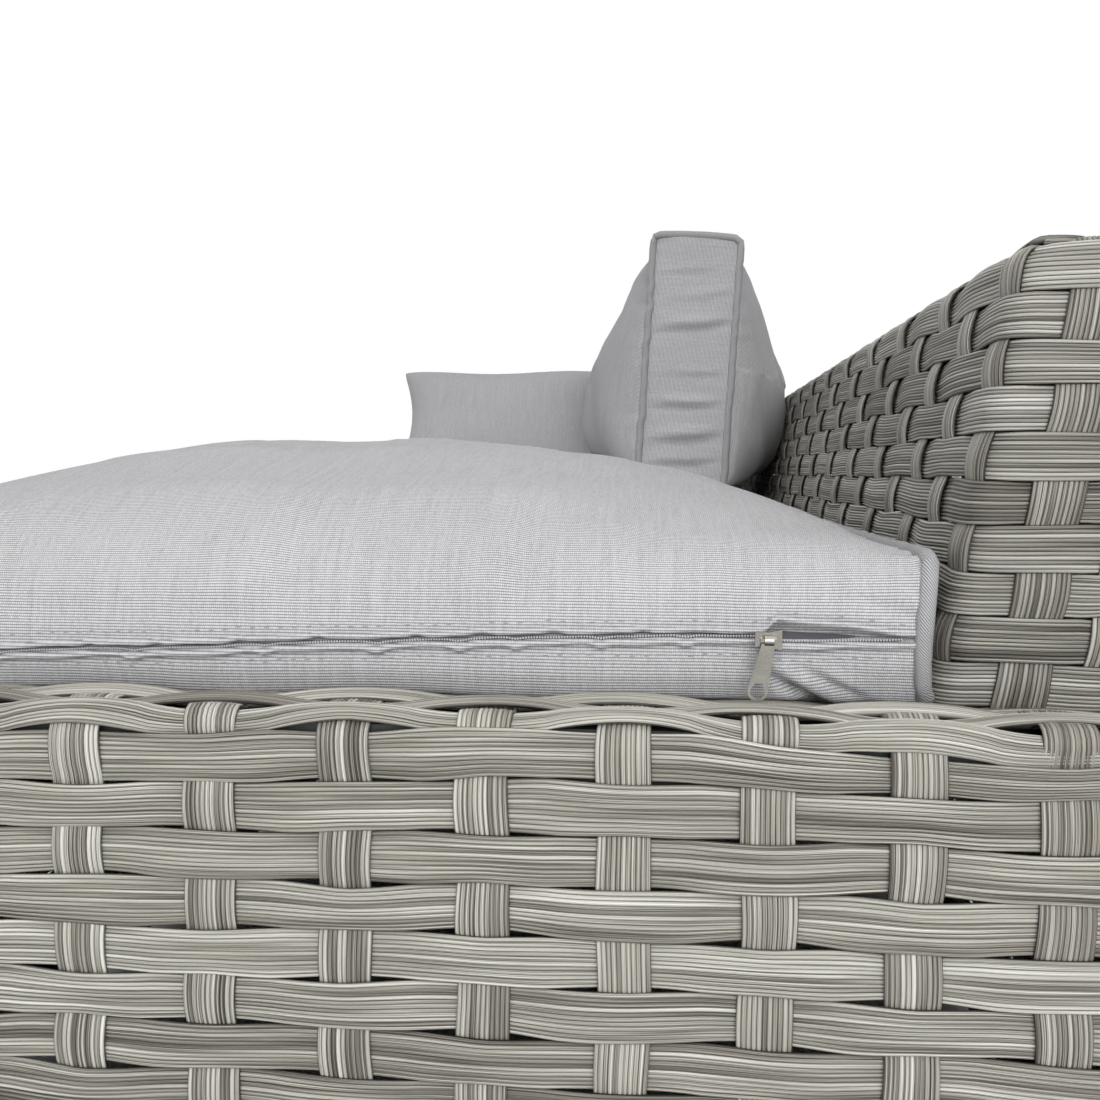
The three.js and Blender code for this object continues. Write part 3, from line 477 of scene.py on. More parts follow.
class Weave:
    """Plain weave on a sheet: rows between edges across it, and columns that they pass."""

    def __init__(self, sheet, row_edges, columns, first_row=0, wander=0.9, sink=-1.0,
                 swing=LIFT, period=0.0, droop=None):
        self.sheet, self.droop = sheet, droop
        self.edges = np.asarray(row_edges, float)
        self.columns = np.asarray(columns, float)
        self.first_row, self.sink, self.swing = first_row, sink, swing
        count, total = len(self.edges), len(self.columns)
        self.seeds = rng.uniform(0, 6.28, (count, 3))
        self.waves = rng.uniform(0.8, 1.25, (count, 3)) * WANDER_WAVES
        self.wander = wander
        self.gaps = rng.uniform(0, 1, (count, total)) ** 1.6 * WIDEST_GAP
        index = np.arange(total, dtype=float)
        if period:
            self.places = np.concatenate([self.columns[-4:] - period, self.columns,
                                          self.columns[:4] + period])
            self.index = np.concatenate([index[-4:] - total, index, index[:4] + total])
        else:
            first = self.columns[1] - self.columns[0]
            last = self.columns[-1] - self.columns[-2]
            self.places = np.concatenate([[self.columns[0] - first], self.columns,
                                          [self.columns[-1] + last]])
            self.index = np.arange(-1, total + 1, dtype=float)

    def edge(self, r, a, phase):
        """Where the edge under row r runs at a, and how wide the gap is there."""
        swing = sum(np.sin(a * 2 * math.pi / self.waves[r, i] + self.seeds[r, i])
                    for i in range(3))
        whole = np.round(phase)
        near = np.clip(1 - np.abs(phase - whole) * COLUMN_PITCH / GAP_REACH, 0, 1)
        gap = self.gaps[r, whole.astype(int) % len(self.columns)]
        place = self.edges[r] + swing * self.wander / 2.0
        if self.droop:
            place = place - self.droop(r, a)
        return place, LEAST_GAP + gap * near ** 1.2

    def rows(self, shape, numbers, low, high, ribbed, step, form=None, tuck=0.0):
        for r in numbers:
            start, end = (limit(r) if callable(limit) else limit for limit in (low, high))
            along = np.append(np.arange(start, end - 0.4 * step, step), end)
            phase = np.interp(along, self.places, self.index)
            under, gap_under = self.edge(r, along, phase)
            over, gap_over = self.edge(r + 1, along, phase)
            bottom, top = under + gap_under / 2, over - gap_over / 2
            wave = passing(phase + r + self.first_row)
            bow, raised, tilt = form(r, wave) if form else (0.0, 0.0, 0.0)
            to_end = np.minimum(along - start, end - along)
            raised = raised - tuck * np.clip(1 - to_end / TUCK_RUN, 0, 1)
            strip(shape, self.sheet, along, (bottom + top) / 2 + bow, (top - bottom) / 2,
                  self.sink + self.swing * wave + raised, tilt, ribbed, True)

    def posts(self, shape, numbers, low, high, ribbed, step=3.6, tuck=0.0, proud=0.0):
        centres = (self.edges[:-1] + self.edges[1:]) / 2
        pitch0, pitch1 = centres[1] - centres[0], centres[-1] - centres[-2]
        places = np.concatenate([[centres[0] - pitch0], centres, [centres[-1] + pitch1]])
        index = np.arange(-1, len(centres) + 1, dtype=float)
        along = np.append(np.arange(low, high - 0.4 * step, step), high)
        phase = np.interp(along, places, index)
        for k in numbers:
            lift = self.sink + proud - self.swing * passing(phase + k + self.first_row)
            lift = lift - tuck * np.clip((along - high + TUCK_RUN) / TUCK_RUN, 0, 1)
            middle = self.columns[k] + wobble(along, (70.0, 130.0), 0.9)
            half = np.full(len(along), COLUMN_HALF_WIDTH) + wobble(along, (60.0,), 0.25)
            strip(shape, self.sheet, along, middle, half, lift, 0.0, ribbed, False)

    def hidden_cut(self, k, shift=0.0):
        """Where row r may be cut out of sight: under post k, or k + 1 if it passes over k."""
        count = len(self.columns)

        def place(r):
            post = k if (k + r + self.first_row) % 2 else k + 1
            return self.columns[post % count] + shift
        return place


# The woven base. a runs round it, b up its face, over the rim and in along the deck.
skirt_low, skirt_high = box_mm("skirt_near_end_weave")
GROUND_GAP = skirt_low[2]
DECK_HEIGHT = skirt_high[2]
HALF_LENGTH = skirt_high[0]
BASE_MIDDLE_Y = (skirt_low[1] + skirt_high[1]) / 2
HALF_DEPTH = (skirt_high[1] - skirt_low[1]) / 2
PLAN_RADIUS = 20.3
RIM_RADIUS = 10.0
END_RUN = 2 * (HALF_DEPTH - PLAN_RADIUS)
SIDE_RUN = 2 * (HALF_LENGTH - PLAN_RADIUS)
CORNER_RUN = PLAN_RADIUS * math.pi / 2
RIM_START = DECK_HEIGHT - RIM_RADIUS - GROUND_GAP
AROUND = 2 * (END_RUN + SIDE_RUN) + 4 * CORNER_RUN


def base_plan(a):
    """Plan points and outward directions at a, from the near end's front corner round."""
    a = np.mod(a, AROUND)
    place = np.zeros((*a.shape, 2))
    out = np.zeros((*a.shape, 2))
    half_x, half_y = HALF_LENGTH - PLAN_RADIUS, HALF_DEPTH - PLAN_RADIUS
    start = 0.0
    corners = [(half_x, half_y), (-half_x, half_y), (-half_x, -half_y), (half_x, -half_y)]
    runs = [END_RUN, SIDE_RUN, END_RUN, SIDE_RUN]
    for side, ((cx, cy), run) in enumerate(zip(corners, runs)):
        heading = math.pi / 2 * (side + 1)
        forward = np.array([math.cos(heading), math.sin(heading)])
        away = np.array([forward[1], -forward[0]])
        on = (a >= start) & (a < start + run)
        back = (start + run - a[on])[:, None]
        place[on] = np.array([cx, cy]) + away * PLAN_RADIUS - forward * back
        out[on] = away
        start += run
        on = (a >= start) & (a < start + CORNER_RUN)
        turn = (a[on] - start) / PLAN_RADIUS
        direction = np.cos(turn)[:, None] * away + np.sin(turn)[:, None] * forward
        place[on] = np.array([cx, cy]) + direction * PLAN_RADIUS
        out[on] = direction
        start += CORNER_RUN
    place[..., 1] += BASE_MIDDLE_Y
    return place, out


def rim_section(b, start, radius, top):
    """Distance in from the face, height and the normal's outward and upward shares at b."""
    turn = np.clip((b - start) / radius, 0, math.pi / 2)
    beyond = np.clip(b - start - radius * math.pi / 2, 0, None)
    inward = radius * (1 - np.cos(turn)) + beyond
    height = np.minimum(b - start, 0) + top - radius + radius * np.sin(turn)
    return inward, height, np.cos(turn), np.sin(turn)


def base_sheet(a, b):
    plan, out = base_plan(a)
    inward, height, outward, upward = rim_section(b, RIM_START, RIM_RADIUS, DECK_HEIGHT)
    place = np.concatenate([plan - out * inward[..., None], height[..., None]], -1)
    normal = np.concatenate([out * outward[..., None], upward[..., None]], -1)
    return place, normal


ROW_PITCH = 22.0
FACE_ROWS = range(13)
RIM_EDGES = [303.0, 314.5, 325.0, 343.0]
SIDE_POSTS_END = 308.0
END_COUNT, SIDE_COUNT = 12, 27
FRONT_SAG, REAR_SAG, MIDDLE_RISE = 6.5, 7.5, 3.5
SAG_FADE = 320.0
# How each row of the open rim bows with the weave, how far it is raised and how it tilts
RIM_ROWS = {13: (2.8, 0.4, 0.2), 14: (2.6, 1.3, 0.9), 15: (2.2, 1.7, 1.5), 16: (0.0, -0.7, 0.0)}
OUTER_RIM_ROW, *INNER_RIM_ROWS = RIM_ROWS


def centred(middle, count):
    """Places of posts, evenly about a middle."""
    return middle - COLUMN_PITCH * (count - 1) / 2 + COLUMN_PITCH * np.arange(count)


starts = [0.0, END_RUN + CORNER_RUN, END_RUN + SIDE_RUN + 2 * CORNER_RUN,
          2 * END_RUN + SIDE_RUN + 3 * CORNER_RUN]
base_columns = np.concatenate([start + centred(run / 2, count) for start, run, count in zip(
    starts, (END_RUN, SIDE_RUN) * 2, (END_COUNT, SIDE_COUNT) * 2)])
base_edges = np.concatenate([ROW_PITCH * np.arange(len(FACE_ROWS) + 1), RIM_EDGES])


def rim_droop(r, a):
    """The upper rows of the near end sag toward both of its corners and rise between them."""
    plan = base_plan(a)[0]
    x, y = plan[..., 0], plan[..., 1]
    front = FRONT_SAG * np.clip((60.0 - y) / 290.0, 0, 1) ** 1.2 * np.clip((r - 6) / 6, 0, 1)
    rear = REAR_SAG * np.clip((y - 105.0) / 80.0, 0, 1) ** 1.2 * np.clip(r - 12.0, 0, 1)
    crest = MIDDLE_RISE * hump(y - 40.0, 60.0) * np.clip((r - 10) / 3, 0, 1)
    return (front + rear - crest) * np.clip(1 - (HALF_LENGTH - x) / SAG_FADE, 0, 1)


base_weave = Weave(base_sheet, base_edges, base_columns, wander=1.1, period=AROUND,
                   droop=rim_droop)


def open_rim(r, wave):
    """The rim's strips arch inward and up over a post and tuck down past the next."""
    bow, raised, tilt = RIM_ROWS.get(r, (0.0, 0.0, 0.0))
    return bow * wave, raised, tilt


def covered_rim(r, wave):
    """Under a cushion or the backrest the rim lies flat."""
    return (0.8 * wave, -1.9, 0.0) if r == OUTER_RIM_ROW else (0.0, 0.0, 0.0)


def base_panel(name, first, count, low, high, shown=False, rim_start=None):
    """One side of the base in two pieces, rows and posts, with a rim where it has one."""
    row_step, post_step = (6.0, 3.7) if shown else (7.5, 4.4)
    form, finish = (open_rim, weave_near) if shown else (covered_rim, weave_far)
    rows, posts = Shape(), Shape()
    base_weave.rows(rows, [*FACE_ROWS, OUTER_RIM_ROW], low, high, shown, row_step, form)
    posts_end = SIDE_POSTS_END
    if rim_start is not None:
        base_weave.rows(rows, INNER_RIM_ROWS, rim_start + 4, rim_start + END_RUN - 4, shown,
                        row_step, form)
        posts_end = RIM_EDGES[-1]
    rows.piece(f"{name}_rows", "sofa_frame", "woven_strip", finish, replaces=[f"{name}_weave"])
    base_weave.posts(posts, range(first, first + count), 0.0, posts_end, shown, post_step,
                     tuck=1.0 if shown else 2.2)
    posts.piece(f"{name}_posts", "sofa_frame", "woven_strip", finish)


NEAR_REAR, REAR_FAR = END_COUNT, END_COUNT + SIDE_COUNT - 2
FAR_FRONT, FRONT_NEAR = NEAR_REAR + END_COUNT + SIDE_COUNT, REAR_FAR + END_COUNT + SIDE_COUNT
cut = base_weave.hidden_cut
base_panel("skirt_near_end", 0, END_COUNT, cut(FRONT_NEAR, -AROUND), cut(NEAR_REAR), True,
           starts[0])
base_panel("skirt_rear", END_COUNT, SIDE_COUNT, cut(NEAR_REAR), cut(REAR_FAR))
base_panel("skirt_far_end", END_COUNT + SIDE_COUNT, END_COUNT, cut(REAR_FAR), cut(FAR_FRONT),
           rim_start=starts[2])
base_panel("skirt_front", FAR_FRONT, SIDE_COUNT, cut(FAR_FRONT), cut(FRONT_NEAR))


DECK_SETBACK, DECK_MARGIN = 57.0, 12.0


def deck_sheet(a, b):
    """a runs across the deck along Y and b along X."""
    flat = np.stack([b, a, np.full(np.shape(a), DECK_HEIGHT)], -1)
    return flat, np.broadcast_to([0.0, 0.0, 1.0], flat.shape)


def deck_piece():
    """The woven deck between the rims, which the cushions cover."""
    reach, across = HALF_LENGTH - DECK_SETBACK, HALF_DEPTH - DECK_MARGIN
    count = int(round(2 * reach / ROW_PITCH))
    weave = Weave(deck_sheet, np.linspace(-reach, reach, count + 1),
                  centred(BASE_MIDDLE_Y, END_COUNT), wander=0.6, sink=-2.0, swing=0.9)
    shape = Shape()
    weave.rows(shape, range(count), BASE_MIDDLE_Y - across, BASE_MIDDLE_Y + across, False, 14.0)
    weave.posts(shape, range(END_COUNT), -reach, reach, False, 9.0)
    shape.piece("deck_strips", "sofa_frame", "woven_strip", weave_far, replaces=["deck_weave"])


deck_piece()


BOX_RADIUS = 12.0
QUARTER = BOX_RADIUS * math.pi / 4
BOX_PITCH = 20.1
FACE_COUNT, TOP_ROWS = 10, 5
FIRST_POST = 13.0
TOP_INSET = 9.0


class WovenBox:
    """A woven box on the deck: the backrest or the arm.

    It starts at an end face and runs away from it. a runs round the end in plan, b up a face and
    over its rounded top.
    """

    def __init__(self, corner, run, cross, depth, lean, top):
        self.corner, self.run, self.cross = (np.array(v, float) for v in (corner, run, cross))
        self.depth, self.lean, self.top = depth, lean, top
        self.rim = top - DECK_HEIGHT - BOX_RADIUS
        self.rim_end = self.rim + 2 * QUARTER
        self.end_run = depth - 2 * BOX_RADIUS
        self.path = 2 * self.rim_end + self.end_run

    def at(self, along, cross, height):
        shift = self.lean * (height - DECK_HEIGHT)
        place = (self.corner + along[..., None] * self.run
                 + (cross + shift)[..., None] * self.cross)
        place[..., 2] = height
        return place

    def around(self, a, b):
        """The sheet that turns round the end face, with the rounded top edge."""
        a, b = np.broadcast_arrays(np.asarray(a, float), np.asarray(b, float))
        far = -QUARTER - self.end_run - QUARTER
        along, cross = np.zeros(a.shape), np.zeros(a.shape)
        n_along, n_cross = np.zeros(a.shape), np.zeros(a.shape)
        for middle, side in ((0.0, -1.0), (far, 1.0)):
            centre_cross = BOX_RADIUS if side < 0 else self.depth - BOX_RADIUS
            sweep = (a - middle) * (1.0 if side < 0 else -1.0)
            on = np.abs(sweep) <= QUARTER
            turn = sweep[on] / BOX_RADIUS + math.pi / 4
            n_along[on], n_cross[on] = -np.cos(turn), side * np.sin(turn)
            along[on] = BOX_RADIUS + BOX_RADIUS * n_along[on]
            cross[on] = centre_cross + BOX_RADIUS * n_cross[on]
            on = sweep > QUARTER
            along[on] = BOX_RADIUS + sweep[on] - QUARTER
            cross[on] = 0.0 if side < 0 else self.depth
            n_cross[on] = side
        on = (a < -QUARTER) & (a > far + QUARTER)
        cross[on] = BOX_RADIUS - QUARTER - a[on]
        n_along[on] = -1.0
        inward, height, outward, upward = rim_section(b, self.rim, BOX_RADIUS, self.top)
        place = self.at(along - n_along * inward, cross - n_cross * inward, height)
        normal = (n_along[..., None] * self.run + n_cross[..., None] * self.cross)
        normal = normal * outward[..., None]
        normal[..., 2] += upward
        return place, normal

    def over(self, a, b):
        """The sheet that runs along the box: up the first face, over the top and down."""
        a, b = np.broadcast_arrays(np.asarray(a, float), np.asarray(b, float))
        second = b > self.path / 2
        folded = np.where(second, self.path - b, b)
        inward, height, outward, upward = rim_section(folded, self.rim, BOX_RADIUS, self.top)
        cross = np.where(second, self.depth - inward, inward)
        sign = np.where(second, 1.0, -1.0)
        place = self.at(BOX_RADIUS + a - QUARTER, cross, height)
        normal = (sign * outward)[..., None] * self.cross
        normal[..., 2] += upward
        return place, normal

    def edges(self):
        """Edges of the rows up a face, over the top and down the other face."""
        face = np.append(BOX_PITCH * np.arange(FACE_COUNT) + 0.5,
                         self.rim + 0.62 * 2 * QUARTER)
        middle = np.linspace(face[-1], self.path - face[-1], TOP_ROWS + 1)[1:-1]
        return np.concatenate([face, middle, self.path - face[::-1]])


def box_long(box, name, length, nodes, both_ends, ribbed=False):
    """The faces along a box, in rows of the first face, the top and the other face, and posts."""
    count = 2 * int(round((length - 2 * FIRST_POST) / COLUMN_PITCH / 2))
    columns = np.linspace(FIRST_POST, length - FIRST_POST, count + 1)
    weave = Weave(box.over, box.edges(), columns)
    stops = (0, FACE_COUNT, FACE_COUNT + TOP_ROWS, 2 * FACE_COUNT + TOP_ROWS)
    for part, node, first, last in zip(("front", "top", "rear"), nodes, stops, stops[1:]):
        near, far = weave.hidden_cut(0), weave.hidden_cut(count - 1)
        if part == "top":
            near, far = TOP_INSET, length - TOP_INSET
        shown = ribbed and part == "front"
        rows = Shape()
        weave.rows(rows, range(first, last), near, far if both_ends else length, shown, 6.5)
        # On the ribbed front the rows take the rattan copy that is darkened as painted shade.
        rows.piece(f"{name}_{part}_rows", "sofa_frame", "woven_strip",
                   weave_back_painted_shade if shown else weave_far, replaces=[node])
    posts = Shape()
    weave.posts(posts, range(1, count if both_ends else count + 1), 0.0, box.path, False, 4.2,
                proud=0.7)
    posts.piece(f"{name}_posts", "sofa_frame", "woven_strip", weave_far)
    return weave


def end_rim(r, wave):
    """The strip along an end's top edge stands proud, as a roll."""
    return 1.2 * wave, 0.9, 0.0


def box_end(box, name, weave, end_posts, node, ribbed=False):
    """The end face with its rows turned round both corners, its posts and its top edge."""
    far = -2 * QUARTER - box.end_run
    pitch = weave.columns[1] - weave.columns[0]
    columns = np.array([far - FIRST_POST - pitch, far - FIRST_POST, *end_posts, FIRST_POST,
                        FIRST_POST + pitch])
    edges = np.append(box.edges()[:FACE_COUNT + 1], box.rim_end + 5.0)
    around = Weave(box.around, edges, columns, first_row=len(columns) % 2)
    around.seeds[:FACE_COUNT + 1] = weave.seeds[:FACE_COUNT + 1]
    around.waves[:FACE_COUNT + 1] = weave.waves[:FACE_COUNT + 1]
    around.gaps[:, :3] = around.gaps[:, -3:] = 0.0
    last = len(columns) - 2
    rows, posts = Shape(), Shape()
    around.rows(rows, range(FACE_COUNT), around.hidden_cut(0), around.hidden_cut(last), ribbed,
                3.0)
    around.rows(rows, [FACE_COUNT], far + 4, -4, ribbed, 3.0, end_rim, tuck=2.2)
    # The ribbed near end takes the rattan copy that is darkened as painted shade.
    finish = weave_back_painted_shade if ribbed else weave_far
    rows.piece(f"{name}_rows", "sofa_frame", "woven_strip", finish, replaces=[node])
    around.posts(posts, range(1, last + 1), 0.0, box.rim_end + 4.0, ribbed, 3.4, tuck=2.5)
    posts.piece(f"{name}_posts", "sofa_frame", "woven_strip", finish)


back_low, back_high = box_mm("backrest_near_end_weave")
far_low = box_mm("backrest_far_end_weave")[0]
LEAN_ANGLE = math.radians(9.0)
BACKREST_THICKNESS = 126.0
BACKREST_TOP, BACKREST_FOOT = back_high[2], back_low[1]
BACKREST_LEAN = math.tan(LEAN_ANGLE)
BACKREST_AROUND = back_high[0] - far_low[0] - 2 * BOX_RADIUS + 2 * QUARTER
BACKREST_END_POSTS = (-102.0, -67.0, -32.0)
backrest = {part: WovenBox((x, BACKREST_FOOT, 0), (run, 0, 0), (0, 1, 0),
                           BACKREST_THICKNESS / math.cos(LEAN_ANGLE), BACKREST_LEAN, BACKREST_TOP)
            for part, x, run in (("near", back_high[0], -1), ("far", far_low[0], 1))}
back_weave = box_long(backrest["near"], "backrest", BACKREST_AROUND, [
    "backrest_front_weave", "backrest_top_weave", "backrest_rear_weave"], True, ribbed=True)
for part, box in backrest.items():
    box_end(box, f"backrest_{part}_end", back_weave, BACKREST_END_POSTS,
            f"backrest_{part}_end_weave", part == "near")

arm_low, arm_high = box_mm("arm_front_weave")
ARM_END_POSTS = (-102.0, -66.0, -30.0)
ARM_INTO_BACKREST = 20.0
arm = WovenBox((arm_high[0], arm_low[1], 0), (0, 1, 0), (-1, 0, 0), arm_high[0] - arm_low[0],
               0.0, arm_high[2])
arm_weave = box_long(arm, "arm", BACKREST_FOOT - arm_low[1] + ARM_INTO_BACKREST, [
    "arm_inner_weave", "arm_top_weave", "arm_outer_weave"], False)
box_end(arm, "arm_end", arm_weave, ARM_END_POSTS, "arm_front_weave")


# Padded pieces


def bumps(x, y, seed, wave, size):
    """Soft hollows and rises of a stuffed cloth, smooth in both directions."""
    local = np.random.default_rng(seed)
    total = np.zeros(np.broadcast(x, y).shape)
    for _ in range(7):
        turn = local.uniform(0, math.pi)
        length = wave * local.uniform(0.7, 1.8)
        total += np.sin((x * math.cos(turn) + y * math.sin(turn)) * 2 * math.pi / length
                        + local.uniform(0, 6.28))
    return total * size / 7 ** 0.5


def crown_share(u, v, power=2.4, fullness=0.75, across=None):
    """How far a stuffed face has risen at u, v. across gives its own roundness to u."""
    u_power, u_fullness = across or (power, fullness)
    rise = np.clip(1 - np.abs(u) ** u_power, 0, 1) ** u_fullness
    return rise * np.clip(1 - np.abs(v) ** power, 0, 1) ** fullness


def puckers(run, edge, length, seed, spacing, depth, reach):
    """Short creases that start at a seam: run goes along the seam, edge away from it."""
    local = np.random.default_rng(seed)
    total = np.zeros(np.broadcast(run, edge).shape)
    for place in np.arange(0, length, spacing) + local.uniform(-0.4, 0.4, math.ceil(
            length / spacing)) * spacing:
        width = local.uniform(2.2, 5.0)
        lean = local.uniform(-0.35, 0.35)
        size = depth * local.uniform(0.25, 1.0)
        far = reach * local.uniform(0.5, 1.3)
        line = run - place - lean * edge
        fold = hump(line, width) - 0.75 * hump(line - 2.1 * width, 1.5 * width)
        total -= size * fold * np.exp(-edge / far) * (1 - np.exp(-edge / 2.5))
    return total


def at_runs(wanted, runs, points):
    """Points between those of a line, at the wanted runs along it."""
    return np.stack([np.interp(wanted, runs, points[:, i]) for i in (0, 1)], -1)


def evenly(points, count):
    """A closed loop's points at even steps, and its length."""
    closed = np.concatenate([points, points[:1]])
    run = np.concatenate([[0], np.cumsum(np.linalg.norm(np.diff(closed, axis=0), axis=1))])
    return at_runs(np.linspace(0, run[-1], count, endpoint=False), run, closed), run[-1]


def softened(loop, length, reach):
    """Rounds a loop's corners over about the reach."""
    wave = np.fft.fftfreq(len(loop), length / len(loop))
    keep = np.exp(-2 * (math.pi * wave * reach) ** 2)
    return np.stack([np.fft.ifft(np.fft.fft(loop[:, i]) * keep).real for i in (0, 1)], -1)


LOOP_POINTS = 1536
RESTING = 0.5
SEAM_FADE = 18.0
PUCKER_SPACING, PUCKER_DEPTH, PUCKER_REACH = 27.0, 2.2, 24.0
CLOTH_STEP = 6.0
CALM_REACH, DETAIL_SHARE = 9.0, 0.15


class Wrap:
    """A cushion whose cloth runs round it in one piece between two piped end panels.

    p runs from panel to panel, q across the cushion's faces, t through its thickness.
    """

    def __init__(self, half_p, half_q, border, top, under, bulge=0.0, draw_p=5.0, draw_q=0.0,
                 skew=0.0, soft=13.0, corner=2.6, waist=0.0, flat=False,
                 round_off=(2.4, 0.75, None)):
        self.half_p, self.half_q, self.border = half_p, half_q, border
        self.top, self.under, self.bulge = top, under, bulge
        self.draw_p, self.draw_q, self.skew = draw_p, draw_q, skew
        self.soft, self.corner, self.waist, self.flat = soft, corner, waist, flat
        self.round_off = round_off

    def loop(self, v):
        """The closed outline at v and the runs of its points.

        It goes from the underside up the near wall, back over the top and down the far wall.
        """
        u = np.linspace(-1, 1, 301)
        share = np.linspace(0, 1, 41)[1:-1]
        half = self.half_q - self.draw_q * (1 - v * v)
        rise = crown_share(u + self.skew * (1 - u * u), v, *self.round_off)
        under = np.stack([u * half, -self.under * rise], -1)
        wall = np.stack([half + self.bulge * np.sin(share * math.pi) ** 0.8,
                         share * self.border], -1)
        top = np.stack([u * half, self.border + self.top * rise], -1)[::-1]
        outline = np.concatenate([under[150:], wall, top, wall[::-1] * [-1, 1], under[:150]])
        points, length = evenly(outline, LOOP_POINTS)
        edge = abs(v) ** 8
        rounded = softened(points, length, self.soft * (1 - edge) + self.corner * edge)
        if self.flat:
            high = np.clip((points[:, 1:] - 12.0) / 26.0, 0, 1)
            rounded = softened(points, length, self.corner) * (1 - high) + rounded * high
            rounded[:, 1] = np.maximum(rounded[:, 1], 0)
        closed = np.concatenate([rounded, rounded[:1]])
        return closed, np.arange(LOOP_POINTS + 1) * length / LOOP_POINTS

    def drawn_in(self, v, q):
        """p at v, where the ends are drawn in between the corners."""
        return v * (self.half_p - self.draw_p * (1 - (q / self.half_q) ** 2))

    def mesh(self, columns, rows, seed, extra=None, levels=None, held=None, slack=0.0, cap=5.0,
             wave=150.0, size=1.4):
        """The wrap as a grid (columns, rows, 3) of p, q, t, and each row's run round it."""
        v = np.linspace(-1, 1, columns)
        grid = np.zeros((columns, rows, 3))
        out = np.zeros((columns, rows, 2))
        runs = np.zeros((columns, rows))
        for i, value in enumerate(v):
            closed, at = self.loop(value)
            runs[i] = levels(value, closed, at) if levels else (
                np.linspace(0, at[-1], rows, endpoint=False))
            grid[i, :, 1:] = at_runs(runs[i], at, closed)
            slope = at_runs(runs[i], at, np.gradient(closed, axis=0))
            slope /= np.linalg.norm(slope, axis=1)[:, None]
            out[i] = np.stack([slope[:, 1], -slope[:, 0]], -1)
        p = self.drawn_in(v[:, None], grid[..., 1])
        hollow = self.waist * np.sin(np.clip(grid[..., 2] / self.border, 0, 1) ** 0.75 * math.pi)
        grid[..., 0] = p - hollow * np.sign(v[:, None]) * np.abs(v[:, None]) ** 6
        edge = self.half_p - np.abs(p)
        push = (1 - np.exp(-edge / SEAM_FADE)) * bumps(p, runs, seed, wave, size)
        for sign, extra_seed in ((-1, 1), (1, 2)):
            push += np.where(np.sign(p) == sign, puckers(
                runs, edge, runs.max(), seed + extra_seed, PUCKER_SPACING, PUCKER_DEPTH,
                PUCKER_REACH), 0)
        if extra is not None:
            push = push + extra(p, grid[..., 2], runs, grid[..., 1])
        if self.flat:
            push = np.where(grid[..., 2] < RESTING, 0, push)
        grid[..., 1:] += out * push[..., None]
        if slack:
            grid += self.cloth(held, slack, cap, v, runs)
        if self.flat:
            grid[..., 2] = np.maximum(grid[..., 2], 0)
        return grid, runs

    def cloth(self, held, slack, cap, v, runs):
        """Swells a coarser wrap as cloth, and gives each fine point its share of the move."""
        n, m = int(self.half_p * 2 / CLOTH_STEP), int(self.loop(0)[1][-1] / CLOTH_STEP)
        coarse, run = np.zeros((n, m, 3)), np.zeros((n, m))
        for i, value in enumerate(np.linspace(-1, 1, n)):
            closed, at = self.loop(value)
            run[i] = np.linspace(0, at[-1], m, endpoint=False)
            coarse[i, :, 1:] = at_runs(run[i], at, closed)
            coarse[i, :, 0] = self.drawn_in(value, coarse[i, :, 1])
        fixed = np.ones((n, m)) * (coarse[..., 2] < RESTING) if self.flat else np.zeros((n, m))
        fixed[[0, -1]] = 1
        if held is not None:
            fixed = np.maximum(fixed, held(coarse))
        moved = swell(coarse, fixed, slack)
        calm = blurred(moved, CALM_REACH)
        moved = limited(calm, cap) + limited(moved - calm, cap * DETAIL_SHARE)
        moved *= (1 - fixed)[..., None]
        moved = np.concatenate([moved, moved[:, :1]], 1)
        row = np.interp(v, np.linspace(-1, 1, n), np.arange(n))
        span = runs / (run[:, 1] - run[:, 0]).mean()
        i0 = np.minimum(row.astype(int), n - 2)[:, None]
        j0 = np.minimum(span.astype(int), m - 1)
        a, b = (row[:, None] - i0)[..., None], np.clip(span - j0, 0, 1)[..., None]
        return ((moved[i0, j0] * (1 - a) + moved[i0 + 1, j0] * a) * (1 - b)
                + (moved[i0, j0 + 1] * (1 - a) + moved[i0 + 1, j0 + 1] * a) * b)

    def panel(self, ring, start, sign, wrinkle, bands=26):
        """The end panel inside the wrap's last ring of points, split at the near wall."""
        half = len(ring) // 2
        index = np.arange(half + 1)
        lower, upper = ring[start - index], ring[(start + index) % len(ring)]
        share = np.linspace(0, 1, bands)[None, :, None]
        grid = lower[:, None] * (1 - share) + upper[:, None] * share
        q, t = grid[..., 1], grid[..., 2]
        room = np.minimum(share[..., 0], 1 - share[..., 0]) * 2
        inside = np.clip(room * (upper - lower)[:, None, 2] / self.border, 0, 1)
        inside = np.sin(inside * math.pi / 2)
        grid[..., 0] += sign * inside * (3.0 + wrinkle(q, t))
        return grid


def blurred(field, reach):
    """A field of moves on a wrap, smoothed over about reach points."""
    mirrored = np.concatenate([field, field[::-1]])
    n, m = mirrored.shape[:2]
    wave = np.fft.fftfreq(n)[:, None] ** 2 + np.fft.fftfreq(m)[None, :] ** 2
    keep = np.exp(-2 * math.pi ** 2 * reach ** 2 * wave)[..., None]
    return np.fft.ifft2(np.fft.fft2(mirrored, axes=(0, 1)) * keep, axes=(0, 1)).real[:len(field)]


def limited(moves, cap):
    """Moves, each cut down to a length of at most the cap."""
    far = np.linalg.norm(moves, axis=-1, keepdims=True)
    return moves * np.minimum(1, cap / np.maximum(far, 1e-6))


CLOTH = {"quality": 4, "mass": 0.25, "tension_stiffness": 12, "compression_stiffness": 12,
         "shear_stiffness": 4, "bending_stiffness": 0.15, "air_damping": 2.0,
         "use_pressure": True, "uniform_pressure_force": 4.0, "vertex_group_mass": "held"}
CLOTH_FRAMES = 20


